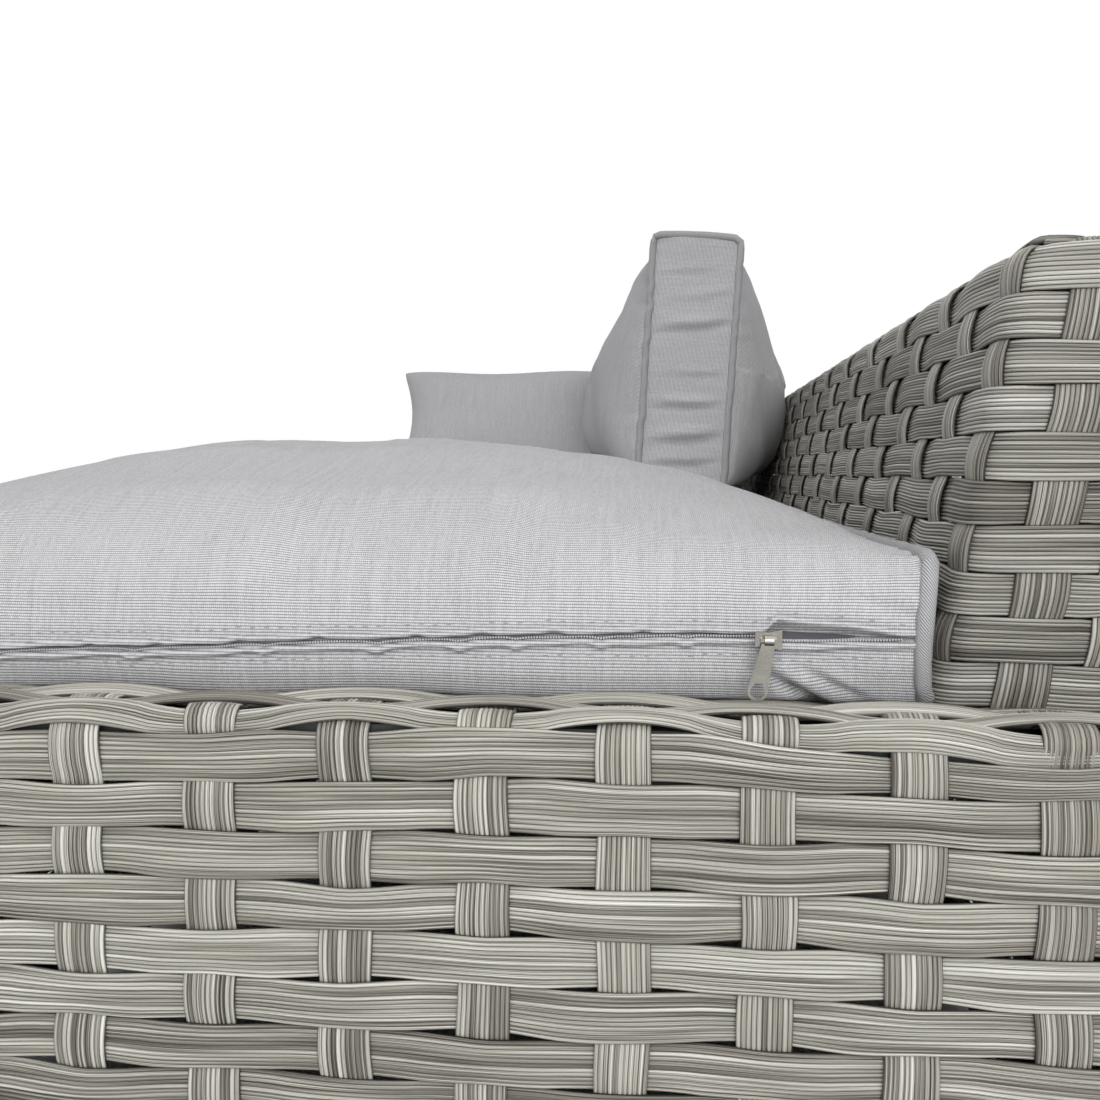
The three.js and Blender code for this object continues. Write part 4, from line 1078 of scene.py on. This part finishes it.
def swell(points, fixed, slack):
    """Lets a sheet swell as cloth held at its fixed points, and gives how far each moves."""
    n, m = points.shape[:2]
    mesh = bpy.data.meshes.new("swell")
    faces = [(i * m + j, (i + 1) * m + j, (i + 1) * m + (j + 1) % m, i * m + (j + 1) % m)
             for i in range(n - 1) for j in range(m)]
    mesh.from_pydata((points.reshape(-1, 3) * MM).tolist(), [], faces)
    thing = added("swell", mesh)
    pinned = thing.vertex_groups.new(name=CLOTH["vertex_group_mass"])
    weights = np.round(fixed.ravel(), 1)
    for weight in np.unique(weights[weights > 0]):
        pinned.add(np.flatnonzero(weights == weight).tolist(), float(weight), "REPLACE")
    cloth = thing.modifiers.new("cloth", "CLOTH")
    for name, value in CLOTH.items():
        setattr(cloth.settings, name, value)
    cloth.settings.shrink_min = -slack
    cloth.settings.effector_weights.gravity = 0.0
    cloth.collision_settings.use_collision = False
    cloth.point_cache.frame_start, cloth.point_cache.frame_end = 1, CLOTH_FRAMES
    for number in range(1, CLOTH_FRAMES + 1):
        bpy.context.scene.frame_set(number)
    view = thing.evaluated_get(bpy.context.evaluated_depsgraph_get())
    places = np.empty(n * m * 3, np.float32)
    view.data.vertices.foreach_get("co", places)
    moved = places.reshape(n, m, 3) / MM - points
    bpy.context.scene.frame_set(1)
    bpy.data.objects.remove(thing)
    bpy.data.meshes.remove(mesh)
    return moved


# Seat cushions: p runs along Y, q along X and t up.

SEAT_BULGE = 9.0
SEAT_BORDER = 66.0
SEAT_DRAW_IN = 5.0
SEAT_LIFT = 3.0
SEAT_WAIST = 4.2
SEAT_ROUND = (2.4, 0.75, (2.2, 0.55))
SEAT_SLACK, SEAT_CAP = 0.02, 4.0
PIPING_RADIUS = 3.9


def seat_ground(points, clear):
    """Height of the seat cushions' tops under points, plus a clearance."""
    ground = np.full(points.shape[:-1], -1000.0)
    for node in ("seat_cushion_far", "seat_cover_near"):
        a, b = box_mm(node)
        mid, half = (a + b) / 2, (b - a) / 2
        u = (points[..., 0] - mid[0]) / (half[0] - SEAT_BULGE)
        v = (points[..., 1] - mid[1]) / half[1]
        over = (np.abs(u) < 1) & (np.abs(v) < 1)
        share = crown_share(np.clip(u, -1, 1), np.clip(v, -1, 1), *SEAT_ROUND)
        top = a[2] + SEAT_BORDER + (b[2] - a[2] - SEAT_BORDER + SEAT_LIFT) * share + clear
        ground = np.where(over, top, ground)
    return ground


# The zip in the near seat cushion's end wall. Heights are over the cushion's base.
ZIP_RISE = 31.0
ZIP_SAG = 14.0
WALL_REACH = 52.0
band_low, band_high = box_mm("zip_band")
slider_low, slider_high = box_mm("zip_slider")
SLIDER_Y = (slider_low[1] + slider_high[1]) / 2
MOUTH = (SLIDER_Y, band_high[1] - 2.0)
UPPER_KINKS = (-246, -173, -140, -100, -64, -18, 12, 45, 85)
LOWER_KINKS = (-222, -151, -88, -36, 2, 28, 66, 104)


def zip_line(y):
    """The zip's middle, sagging between the slider and the front corner."""
    share = np.clip((110.0 - y) / 330.0, 0, 1)
    back = np.clip((-228.0 - y) / 95.0, 0, 1)
    sag = ZIP_SAG * share ** 1.2 * (1 - back * back * (3 - 2 * back))
    return ZIP_RISE - sag + 0.3 * np.sin(y / 17.0) * np.minimum(1, share * 4)


def mouth_open(y):
    """How far the zip gapes behind the slider: widest there and closing toward the seam."""
    share = np.clip((y - MOUTH[0]) / (MOUTH[1] - MOUTH[0]), 0, 1)
    return np.where(y < MOUTH[0], 0, np.minimum(1, share / 0.07) * (1 - share) ** 0.7)


def zip_stops(y):
    """Heights of the bands round the zip: wall, lower lip, gap, upper lip, wall."""
    line, open_share = zip_line(y), mouth_open(y)
    sealed = hump(np.clip(y - MOUTH[1] + 4, 0, None), 5.0)
    rise = sum(1.7 * hump(y - k, 3.6) for k in UPPER_KINKS) + 0.35 * np.sin(y / 5.3)
    dip = sum(1.9 * hump(y - k, 3.8) for k in LOWER_KINKS) + 0.35 * np.sin(y / 6.1 + 1)
    low = line - 0.9 - 2.0 * open_share - 0.45 * dip
    high = line + 1.3 + 5.6 * open_share * sealed + 0.6 * rise
    lip = 3.5 + 0.5 * np.sin(y / 11.0) + 0.6 * dip
    return np.stack([np.full_like(y, 1.0), low - lip, low, high, high + 2.6,
                     np.full_like(y, WALL_REACH)])


ZIP_ROWS = np.concatenate([band + np.linspace(0, 1, count)[:-1]
                           for band, count in enumerate((22, 15, 7, 11))]
                          + [4 + np.linspace(0, 1, 18)])
UNDER_ROWS, OVER_ROWS = 40, 233 - len(ZIP_ROWS)
FOAM_INSET = 17.0
# The creases beside the pull: the line of each (Y, slope, height), where it is deepest and how
# far it reaches along Y, its ridge (height, place, width) and its hollow (depth, width)
PULL_CREASES = ((143.0, 0.58, 11.5, 155.0, 15.0, 2.4, 7.0, 4.5, 5.5, 3.0),
                (161.0, 0.5, 14.0, 170.0, 14.0, 1.2, 4.0, 3.5, 2.0, 2.4))
# The upright folds over the zip: Y, width and height
WALL_FOLDS = ((-104, 16, 2.6), (-80, 10, -1.8), (10, 11, 3.0), (30, 10, -2.4), (-190, 18, 1.6),
              (66, 10, 1.2), (112, 14, 1.6))


def seat_form(low, high, inset=0.0):
    """The wrap of a seat cushion, or of the filling that lies within it by an inset."""
    return Wrap((high[1] - low[1]) / 2 - inset, (high[0] - low[0]) / 2 - SEAT_BULGE - inset,
                SEAT_BORDER - inset, high[2] - low[2] - SEAT_BORDER + SEAT_LIFT, 0.0,
                SEAT_BULGE, SEAT_DRAW_IN, waist=0.0 if inset else SEAT_WAIST, soft=21.0,
                flat=True, round_off=SEAT_ROUND)


def seat_place(low, high):
    """The middle of a seat cushion's base, and the way from p, q, t to places in the sofa."""
    middle = np.array([(low[0] + high[0]) / 2, (low[1] + high[1]) / 2, low[2]])
    return middle, lambda grid: grid[..., [1, 0, 2]] + middle


def seat_held(coarse):
    """How firmly the cloth is held: fully on the walls, and freely up on the crown."""
    reach = np.abs(coarse[..., 1]) > np.abs(coarse[..., 1]).max() - 60
    return reach * np.clip((WALL_REACH + 26 - coarse[..., 2]) / 26, 0, 1)


def foam_piece(low, high, place):
    """The filling inside the near cover, a plain block that its cover hides."""
    form = seat_form(low, high, FOAM_INSET)
    grid = np.stack([np.insert(form.loop(v * 0.97)[0][:-1:12], 0, v * form.half_p, axis=1)
                     for v in np.linspace(-1, 1, 50)]) + [0, 0, 5.0]
    shape = Shape()
    uv = np.zeros((grid.shape[0], grid.shape[1] + 1, 2))
    shape.grid(place(grid), uv, place(grid) - place(grid).mean((0, 1)), wrap=True)
    for row, sign in ((0, -1), (-1, 1)):
        panel = form.panel(grid[row], int(np.argmax(grid[0, :, 1])), sign, lambda q, t: 0.0)
        shape.grid(place(panel), panel[..., 1:] * MM,
                   np.broadcast_to([0.0, float(sign), 0.0], panel.shape))
    foam = shape.piece("seat_filling_near", "seat_near", "foam", foam_block, merge=0.02,
                       replaces=["seat_core_near"])


def seat_near_piece():
    """The near seat cushion: its zipped wall, its crown and its two end panels."""
    low, high = box_mm("seat_cover_near")
    form = seat_form(low, high)
    middle, place_in_sofa = seat_place(low, high)
    part = np.clip(ZIP_ROWS.astype(int), 0, 4)
    share = ZIP_ROWS - part

    def levels(v, closed, at):
        """Runs of the rows round the cushion at v, close together where the zip is."""
        stops = zip_stops(np.array([v * form.half_p + middle[1]]))[:, 0]
        wanted = stops[part] + (stops[part + 1] - stops[part]) * share
        height = closed[:LOOP_POINTS // 2, 1]
        first = np.searchsorted(height > 0.4, True)
        wall = np.interp(wanted, height[first:], at[first:len(height)])
        ahead = np.linspace(0, 1, OVER_ROWS + 1)[1:] ** 1.12 * (at[-1] - wall[-1]) + wall[-1]
        behind = np.linspace(0, wall[0], UNDER_ROWS, endpoint=False)
        return np.concatenate([behind, wall, ahead[:-1]])

    def extra(p, t, runs, q):
        """How far the cloth stands out at the zip's lips, the creases and the fuller parts."""
        y = p + middle[1]
        rows = np.arange(p.shape[1]) - UNDER_ROWS
        on = (rows >= 0) & (rows < len(ZIP_ROWS))
        band = np.where(on, part[np.clip(rows, 0, len(ZIP_ROWS) - 1)], 9)
        place = np.where(on, share[np.clip(rows, 0, len(ZIP_ROWS) - 1)], 0)
        roll = np.sin(place * math.pi)
        forms = (-2.0 * place ** 14, 2.7 * roll ** 0.6 - 1.6 * (1 - place) ** 3,
                 -(5.2 + 4.0 * mouth_open(y)) * roll ** 0.35, 1.9 * roll ** 0.5,
                 -1.2 * np.exp(-place * 13))
        push = sum(np.where(band == number, form, 0) for number, form in enumerate(forms))
        below = np.clip((zip_line(y) - 4.5 - t) / 6.0, 0, 1)
        for line_y, slope, line_t, deepest, reach, ridge, beside, wide, cut, narrow in PULL_CREASES:
            line = (y - line_y) * slope + (t - line_t)
            push = push + below * hump(y - deepest, reach) * (
                ridge * hump(line - beside, wide) - cut * hump(line, narrow))
        push = push + (7.5 * hump(p + 205.0, 120.0) - 4.0 * hump(p - 175.0, 80.0)) * np.clip(
            (t - 70.0) / 40.0, 0, 1)
        wall = (q > 0) * np.exp(-np.clip(runs - 395.0, 0, None) / 90.0)
        wall = wall * np.clip((t - 36.0) / 14.0, 0, 1)
        for fold_y, width, size in WALL_FOLDS:
            push = push + wall * size * hump(y - fold_y - 0.12 * (runs - 380.0), width)
        return push * (1 - np.exp(-(form.half_p - np.abs(p)) / 4.0))

    foam_piece(low, high, place_in_sofa)
    rows = UNDER_ROWS + len(ZIP_ROWS) + OVER_ROWS - 1
    grid, runs = form.mesh(250, rows, 3, extra, levels, seat_held, SEAT_SLACK, SEAT_CAP)
    return finish_wrap("seat_cushion_near", form, grid, runs, UNDER_ROWS + len(ZIP_ROWS) // 2,
                       "seat_near", "seat_cover_near", 3, place_in_sofa)


PIPING_STEP = 5.5


def spaced(ring, step):
    """Every few points of a closed ring, so that each lies about a step after the last."""
    run_on, picked = 0.0, []
    for i, length in enumerate(np.linalg.norm(np.roll(ring, -1, axis=0) - ring, axis=1)):
        if run_on <= 0:
            picked.append(i)
            run_on = step
        run_on -= length
    return ring[picked]


def finish_wrap(name, form, grid, runs, start, body, node, seed, place,
                press=lambda points: points, folds=None):
    """Joins a wrap and its two end panels into one closed piece, and pipes their seams."""
    shape, cords = Shape(), Shape()
    if grid.shape[1] % 2:
        raise ValueError("a wrap needs an even number of rows")
    ring_uv = np.zeros((grid.shape[0], grid.shape[1] + 1, 2))
    ring_uv[..., 0] = grid[:, :1, 0]
    ring_uv[..., 1] = np.concatenate([runs, 2 * runs[:, -1:] - runs[:, -2:-1]], 1)
    world = press(place(grid))
    inside = place(np.broadcast_to(grid.mean((0, 1)), grid.shape))
    shape.grid(world, ring_uv * MM, world - inside, wrap=True)
    wrinkle = folds or (lambda q, t: bumps(q, t * 1.6, seed + 9, 64.0, 1.1))
    for row, sign in ((0, -1), (-1, 1)):
        panel = form.panel(grid[row], start, sign, wrinkle)
        faces = press(place(panel))
        away = place(panel * [0, 1, 1] + [sign * 1e4, 0, 0]) - faces
        shape.grid(faces, panel[..., 1:] * MM, away)
        path = spaced(grid[row] + [sign * 0.6, 0, 0], PIPING_STEP)
        if form.flat:
            path[:, 2] = np.maximum(path[:, 2], PIPING_RADIUS + 0.4)
        cord_along(cords, press(place(path)), PIPING_RADIUS)
    cushion = shape.piece(name, body, "grey_cloth", canvas, merge=0.02, replaces=[node])
    cords.piece(f"{name}_piping", body, "grey_cloth", piping_twill)
    return world


near_wall = seat_near_piece()


def seat_far_piece():
    low, high = box_mm("seat_cushion_far")
    form = seat_form(low, high)
    grid, runs = form.mesh(150, 260, 11, held=seat_held, slack=SEAT_SLACK, cap=SEAT_CAP)
    finish_wrap("seat_cushion_far_cover", form, grid, runs, 63, "seat_far", "seat_cushion_far",
                11, seat_place(low, high)[1])


seat_far_piece()

# Back cushion: p runs along the sofa, q up the cushion, t from its rear to its front.

BACK_HEIGHT, BACK_GUSSET = 281.0, 96.0
BACK_FRONT, BACK_REAR = 88.0, 92.0
BACK_LEAN = math.radians(3.4)
BACK_FROM_FOOT, BACK_OVER_DECK = 88.0, 81.0
BACK_CLEARANCE, GROUND_CLEARANCE = 3.4, 2.0
# The gusset's long folds: q, width, depth, slope, and how far behind the front each is deepest,
# as a share of the thickness
BACK_FOLDS = ((40, 3.4, 4.2, 0.10, 0.65), (-46, 3.0, 4.0, 0.07, 0.5), (-84, 4.0, 4.6, 0.1, 0.6),
              (72, 2.4, 1.6, 0.12, 0.9), (-12, 2.6, 1.8, 0.06, 0.85), (102, 2.2, 1.3, 0.1, 0.2),
              (-110, 3.0, 3.0, 0.08, 0.5))


def back_cushion():
    low, high = box_mm("back_cushion")
    form = Wrap((high[0] - low[0]) / 2, BACK_HEIGHT / 2, BACK_GUSSET, BACK_FRONT, BACK_REAR,
                bulge=2.0, draw_p=7.0, draw_q=5.0, skew=0.36, soft=9.0, corner=4.5,
                round_off=(2.0, 0.55, None))
    top = np.array([(low[0] + high[0]) / 2, BACKREST_FOOT - BACK_FROM_FOOT,
                    DECK_HEIGHT + BACK_OVER_DECK + BACK_HEIGHT])

    def place(g):
        across = BACK_GUSSET / 2 - g[..., 2]
        height = g[..., 1] - BACK_HEIGHT / 2
        y = across * math.cos(BACK_LEAN) + height * math.sin(BACK_LEAN)
        z = height * math.cos(BACK_LEAN) - across * math.sin(BACK_LEAN)
        return np.stack([g[..., 0], y, z], -1) + top

    def press(points):
        """Flattens the cushion where it leans on the backrest and stands on the seat."""
        limit = BACKREST_FOOT + BACKREST_LEAN * (points[..., 2] - DECK_HEIGHT) - BACK_CLEARANCE
        limit = limit + np.clip((points[..., 2] - BACKREST_TOP) / 30.0, 0, 1) * 3.0
        points[..., 1] = np.minimum(points[..., 1], limit)
        points[..., 2] = np.maximum(points[..., 2], seat_ground(points, GROUND_CLEARANCE))
        return points

    def folds(q, t):
        total = bumps(q, t, 33, 60.0, 1.0)
        for seed, edge in ((34, t), (35, BACK_GUSSET - t)):
            total += puckers(q + BACK_HEIGHT / 2, np.clip(edge, 0, None), BACK_HEIGHT, seed, 21.0,
                             1.3, 13.0)
        for fold_q, width, depth, slope, side in BACK_FOLDS:
            line = q - fold_q + slope * (t - BACK_GUSSET / 2) * 2 + 2.0 * np.sin(t / 17.0)
            strength = 0.4 + 0.6 * hump(t / BACK_GUSSET - 1 + side, 0.42)
            total -= strength * 1.35 * (depth * hump(line, width) - 0.8 * depth * hump(
                line - 2.4 * width, 1.7 * width))
        return total

    grid, runs = form.mesh(150, 220, 21, slack=0.02, cap=5.0, wave=120.0, size=1.8)
    start = int(np.argmin(np.abs(grid[0, :110, 2] - BACK_GUSSET / 2)
                          + 1e3 * (grid[0, :110, 1] < 0)))
    finish_wrap("back_cushion_cover", form, grid, runs, start, "back", "back_cushion", 21,
                place, press, folds)


back_cushion()

# Scatter pillow: two faces sewn together at the edge, with drawn-in sides and blunt corners.

PILLOW_WIDTH, PILLOW_LENGTH, PILLOW_THICKNESS = 342.0, 215.0, 100.0
PILLOW_TILT, PRESS_TILT = math.radians(60.0), math.radians(66.0)
PILLOW_END_DRAW, PILLOW_SIDE_DRAW = 26.0, 13.0
PILLOW_FROM_ARM, PILLOW_FROM_FRONT, PILLOW_OVER_BACKREST = 5.0, 22.0, 63.0


def scatter_pillow():
    half_l, half_w = PILLOW_LENGTH / 2, PILLOW_WIDTH / 2
    arm_x, front_y = arm_high[0], box_mm("seat_cushion_far")[0][1]
    top = np.array([arm_x + PILLOW_FROM_ARM, front_y + PILLOW_FROM_FRONT,
                    BACKREST_TOP + PILLOW_OVER_BACKREST])
    down = np.array([math.cos(PILLOW_TILT), 0, -math.sin(PILLOW_TILT)])
    out = np.array([math.sin(PILLOW_TILT), 0, math.cos(PILLOW_TILT)])
    eased = np.sin(np.linspace(-math.pi / 2, math.pi / 2, 121))
    u, v = np.meshgrid(eased, eased, indexing="ij")
    blunt = 1 - 0.035 * np.abs(u * v) ** 10
    x = u * (half_l - PILLOW_SIDE_DRAW * (1 - v * v)) * blunt
    y = v * (half_w - PILLOW_END_DRAW * (1 - u * u)) * blunt
    edge = np.minimum(half_l - np.abs(x), half_w - np.abs(y)).clip(0)
    fold = sum(puckers(along, np.clip(half - np.abs(across), 0, None), 2 * run, seed, 24.0, 1.8,
                       22.0)
               for along, across, half, run, seed in ((y, x, half_l, half_w, 61),
                                                      (x, y, half_w, half_l, 62)))
    share = crown_share(u, v, 4.0, 0.62)
    shape = Shape()
    for sign in (1.0, -1.0):
        pleat = (bumps(x, y, 50 + int(sign), 110.0, 1.6) + fold) * (1 - np.exp(-edge / 10))
        lift = sign * (PILLOW_THICKNESS / 2 * share + pleat)
        points = top + (x + half_l)[..., None] * down + lift[..., None] * out
        points[..., 1] += y + half_w
        if sign < 0:
            rest = np.array([arm_x - BOX_RADIUS, 0, BACKREST_TOP - BOX_RADIUS])
            normal = np.array([math.sin(PRESS_TILT), 0, math.cos(PRESS_TILT)])
            depth = (points - rest) @ normal - BOX_RADIUS - BACK_CLEARANCE
            points = points - np.minimum(depth, 0)[..., None] * normal
        points[..., 2] = np.maximum(points[..., 2], seat_ground(points, GROUND_CLEARANCE))
        shape.grid(points, np.stack([y, x], -1) * MM, points - points.mean((0, 1)))
    pillow = shape.piece("scatter_pillow_cover", "pillow", "grey_cloth", canvas, merge=0.4,
                         replaces=["scatter_pillow"])


scatter_pillow()


# Zip

TEETH_PITCH, TOOTH_LENGTH, TOOTH_WIDTH = 1.25, 1.0, 1.3
STITCH_PITCH, STITCH_LENGTH, STITCH_WIDTH = 6.5, 2.6, 0.55


class Repeat(Nodes):
    """A geometry node tree that sets one unit at even steps along lines."""

    def __init__(self, name, finish):
        super().__init__(bpy.data.node_groups.new(name, "GeometryNodeTree"))
        face = self.tree.interface
        face.new_socket("Line", in_out="INPUT", socket_type="NodeSocketGeometry")
        self.sizes = {label: face.new_socket(label, in_out="INPUT",
                                             socket_type="NodeSocketFloat").identifier
                      for label in ("Pitch", "Unit length", "Unit width")}
        face.new_socket("Row", in_out="OUTPUT", socket_type="NodeSocketGeometry")
        line = self.node("NodeGroupInput", out="Line")
        length, width = line.beside("Unit length"), line.beside("Unit width")
        steps = self.node("GeometryNodeResampleCurve", {"mode": "LENGTH"}, Curve=line,
                          Length=line.beside("Pitch"))
        ball = self.node("GeometryNodeMeshUVSphere", Segments=8, Rings=6, Radius=width * 0.5)
        stretch = self.node("ShaderNodeCombineXYZ", X=1.0, Y=1.0, Z=length / width)
        unit = self.node("GeometryNodeTransform", Geometry=ball, Scale=stretch)
        turn = self.node("FunctionNodeAlignRotationToVector", {"axis": "Z"},
                         Vector=self.node("GeometryNodeInputTangent"))
        units = self.node("GeometryNodeInstanceOnPoints", Points=steps, Instance=unit,
                          Rotation=turn)
        real = self.node("GeometryNodeRealizeInstances", Geometry=units)
        smooth = self.node("GeometryNodeSetShadeSmooth", Geometry=real)
        painted = self.node("GeometryNodeSetMaterial", Geometry=smooth, Material=finish)
        self.node("NodeGroupOutput", _0=painted)

    def row(self, name, lines, body, slot, pitch, length, width):
        """One piece with the units along some lines, baked to a plain mesh."""
        curve = bpy.data.curves.new(name, "CURVE")
        curve.dimensions = "3D"
        for line in lines:
            spline = curve.splines.new("POLY")
            spline.points.add(len(line) - 1)
            spline.points.foreach_set("co", np.concatenate(
                [np.asarray(line) * MM, np.ones((len(line), 1))], 1).astype(np.float32).ravel())
        holder = added(name, curve)
        modifier = holder.modifiers.new("repeat", "NODES")
        modifier.node_group = self.tree
        for label, value in zip(self.sizes, (pitch, length, width)):
            modifier[self.sizes[label]] = value * MM
        view = holder.evaluated_get(bpy.context.evaluated_depsgraph_get())
        mesh = bpy.data.meshes.new_from_object(view)
        bpy.data.objects.remove(holder)
        thing = added(name, mesh)
        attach(thing, body)


def zip_pieces():
    """Tape, lining, coil teeth and top stitching, laid along the near cushion's end wall; tape and
    lining are dark grey, painted shade in the gap between the lips.
    """
    y = near_wall[:, UNDER_ROWS, 1]
    inside = np.flatnonzero((y > band_low[1] + 4) & (y < band_high[1] - 1))

    def wall_line(band, row):
        """The near wall's points along one of the rows of a band of the zip."""
        rows = np.flatnonzero(ZIP_ROWS.astype(int) == band)
        return near_wall[inside, UNDER_ROWS + rows[row]]

    low, high = wall_line(2, 0), wall_line(2, -1)
    rings = []
    for base, sign in ((low, 1.0), (high, -1.0)):
        inner, outer = base + [-2.2, 0, -sign * 2.0], base + [-1.0, 0, sign * 0.9]
        rings.append((base, [inner, outer, outer + [-0.8, 0, 0], inner + [-0.8, 0, 0]]))
    # The lining behind the gap, in the tape's dark grey, paints the shade deep in the gap.
    rings.append((high, [low + [-3.6, 0, -1.2], high + [-4.6, 0, 1.2], high + [-5.2, 0, 1.2],
                         low + [-4.2, 0, -1.2]]))
    tape = Shape()
    for base, corners in rings:
        ring = np.stack(corners, 1)
        uv = np.zeros((len(inside), 5, 2))
        uv[..., 0] = base[:, 1:2] * MM
        tape.grid(ring, uv, ring - ring.mean(1)[:, None], wrap=True, capped=True)
    tape.piece("zip_tape", "seat_near", "zip_nylon", zip_lining, replaces=["zip_band"])
    low_teeth, high_teeth = low + [-0.7, 0, 0.9], high + [-1.6, 0, -0.7]
    Repeat("coil_teeth", zip_nylon).row(
        "zip_teeth", [low_teeth, high_teeth[low[:, 1] > SLIDER_Y]], "seat_near", "zip_nylon",
        TEETH_PITCH, TOOTH_LENGTH, TOOTH_WIDTH)
    upper, lower = wall_line(4, 2) + [0.2, 0, 0.6], wall_line(0, -3) + [0.2, 0, -0.4]
    Repeat("top_stitches", thread_grey).row(
        "zip_stitches", [upper, lower], "seat_near", "grey_cloth", STITCH_PITCH, STITCH_LENGTH,
        STITCH_WIDTH)


zip_pieces()


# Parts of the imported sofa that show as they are

HARD_FINISHES = (("foot_glide", glide_plastic), ("bolt", bolt_steel), ("zip", zip_metal),
                 ("", tube_coat))
for name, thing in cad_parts.items():
    if not thing.hide_render:
        thing.data.materials.clear()
        thing.data.materials.append(next(finish for part, finish in HARD_FINISHES
                                         if part in name))


# Floor, light and camera

FLOOR_REACH = 9.0
FLOOR_GREYS = ((0.3, (0.86, 0.86, 0.86)), (0.7, (0.9, 0.9, 0.9)))
SKY_COLOUR, SKY_STRENGTH = (0.96, 0.98, 1.0, 1.0), 0.42


def stage_floor():
    """A pale floor that glows white to the camera, the more the farther it is."""
    mesh = bpy.data.meshes.new("floor")
    mesh.from_pydata([(x * FLOOR_REACH, y * FLOOR_REACH, 0)
                      for x, y in ((-1, -1), (1, -1), (1, 1), (-1, 1))], [], [(0, 1, 2, 3)])
    finish = Finish("floor_paint", Roughness=0.85, Emission_Strength=1.0)
    place = finish.place()
    finish.feed("Base Color", finish.ramp(finish.noise(place, 30.0), FLOOR_GREYS))
    away = finish.node("ShaderNodeVectorMath", {"operation": "LENGTH"}, out="Value", _0=place)
    seen = finish.node("ShaderNodeLightPath", out="Is Camera Ray")
    glow = (away * 0.42 - 0.4).math("MAXIMUM", 0.0).math("MINIMUM", 1.0) * seen
    finish.feed("Emission Color", finish.vector(glow, glow, glow))
    mesh.materials.append(finish.material)
    added("floor", mesh)


def sky():
    """Even soft light, which the camera and the metal see as white."""
    world = bpy.data.worlds.new("studio")
    bpy.context.scene.world = world
    world.use_nodes = True
    nodes = Nodes(world.node_tree)
    nodes.tree.nodes.clear()
    white = nodes.node("ShaderNodeBackground", Color=(1.0, 1.0, 1.0, 1.0), Strength=1.0)
    soft = nodes.node("ShaderNodeBackground", Color=SKY_COLOUR, Strength=SKY_STRENGTH)
    seen = nodes.node("ShaderNodeLightPath", out="Is Camera Ray")
    seen = seen.math("MAXIMUM", seen.beside("Is Glossy Ray")).math(
        "MAXIMUM", seen.beside("Is Transmission Ray"))
    mixed = nodes.node("ShaderNodeMixShader", _0=seen, _1=soft, _2=white)
    nodes.node("ShaderNodeOutputWorld", Surface=mixed)


def lamp(name, place, target, size, power):
    light = bpy.data.lights.new(name, "AREA")
    light.size, light.energy = size, power
    thing = added(name, light)
    thing.location = place
    aim = Vector(target) - Vector(place)
    thing.rotation_euler = aim.to_track_quat("-Z", "Y").to_euler()


stage_floor()
sky()
lamp("key", (2.5, 0.35, 1.2), (0.6, 0.0, 0.3), 1.7, 32.0)
lamp("fill", (0.9, -0.3, 2.7), (0.3, 0.0, 0.35), 2.0, 20.0)

EYE = Vector((1.2962, 0.0948, 0.4132))
YAW, PITCH, ROLL = math.radians(5.645), math.radians(3.782), math.radians(0.257)
PICTURE_WIDTH, FOCAL_LENGTH = 1100.0, 1180.0
SENSOR_WIDTH = 36.0
forward = Vector((-math.cos(YAW) * math.cos(PITCH), -math.sin(YAW) * math.cos(PITCH),
                  -math.sin(PITCH)))
level = Vector((-math.sin(YAW), math.cos(YAW), 0.0))
upright = level.cross(forward)
right = math.cos(ROLL) * level + math.sin(ROLL) * upright
above = -math.sin(ROLL) * level + math.cos(ROLL) * upright
lens = bpy.data.cameras.new("camera")
lens.sensor_width = SENSOR_WIDTH
lens.sensor_fit = "HORIZONTAL"
lens.lens = SENSOR_WIDTH * FOCAL_LENGTH / PICTURE_WIDTH
lens.clip_start = 0.01
eye = added("camera", lens)
eye.matrix_world = Matrix.Translation(EYE) @ Matrix(
    (right, above, -forward)).transposed().to_4x4()
bpy.context.scene.camera = eye
bpy.context.scene.view_settings.view_transform = "Standard"

bpy.context.view_layer.update()
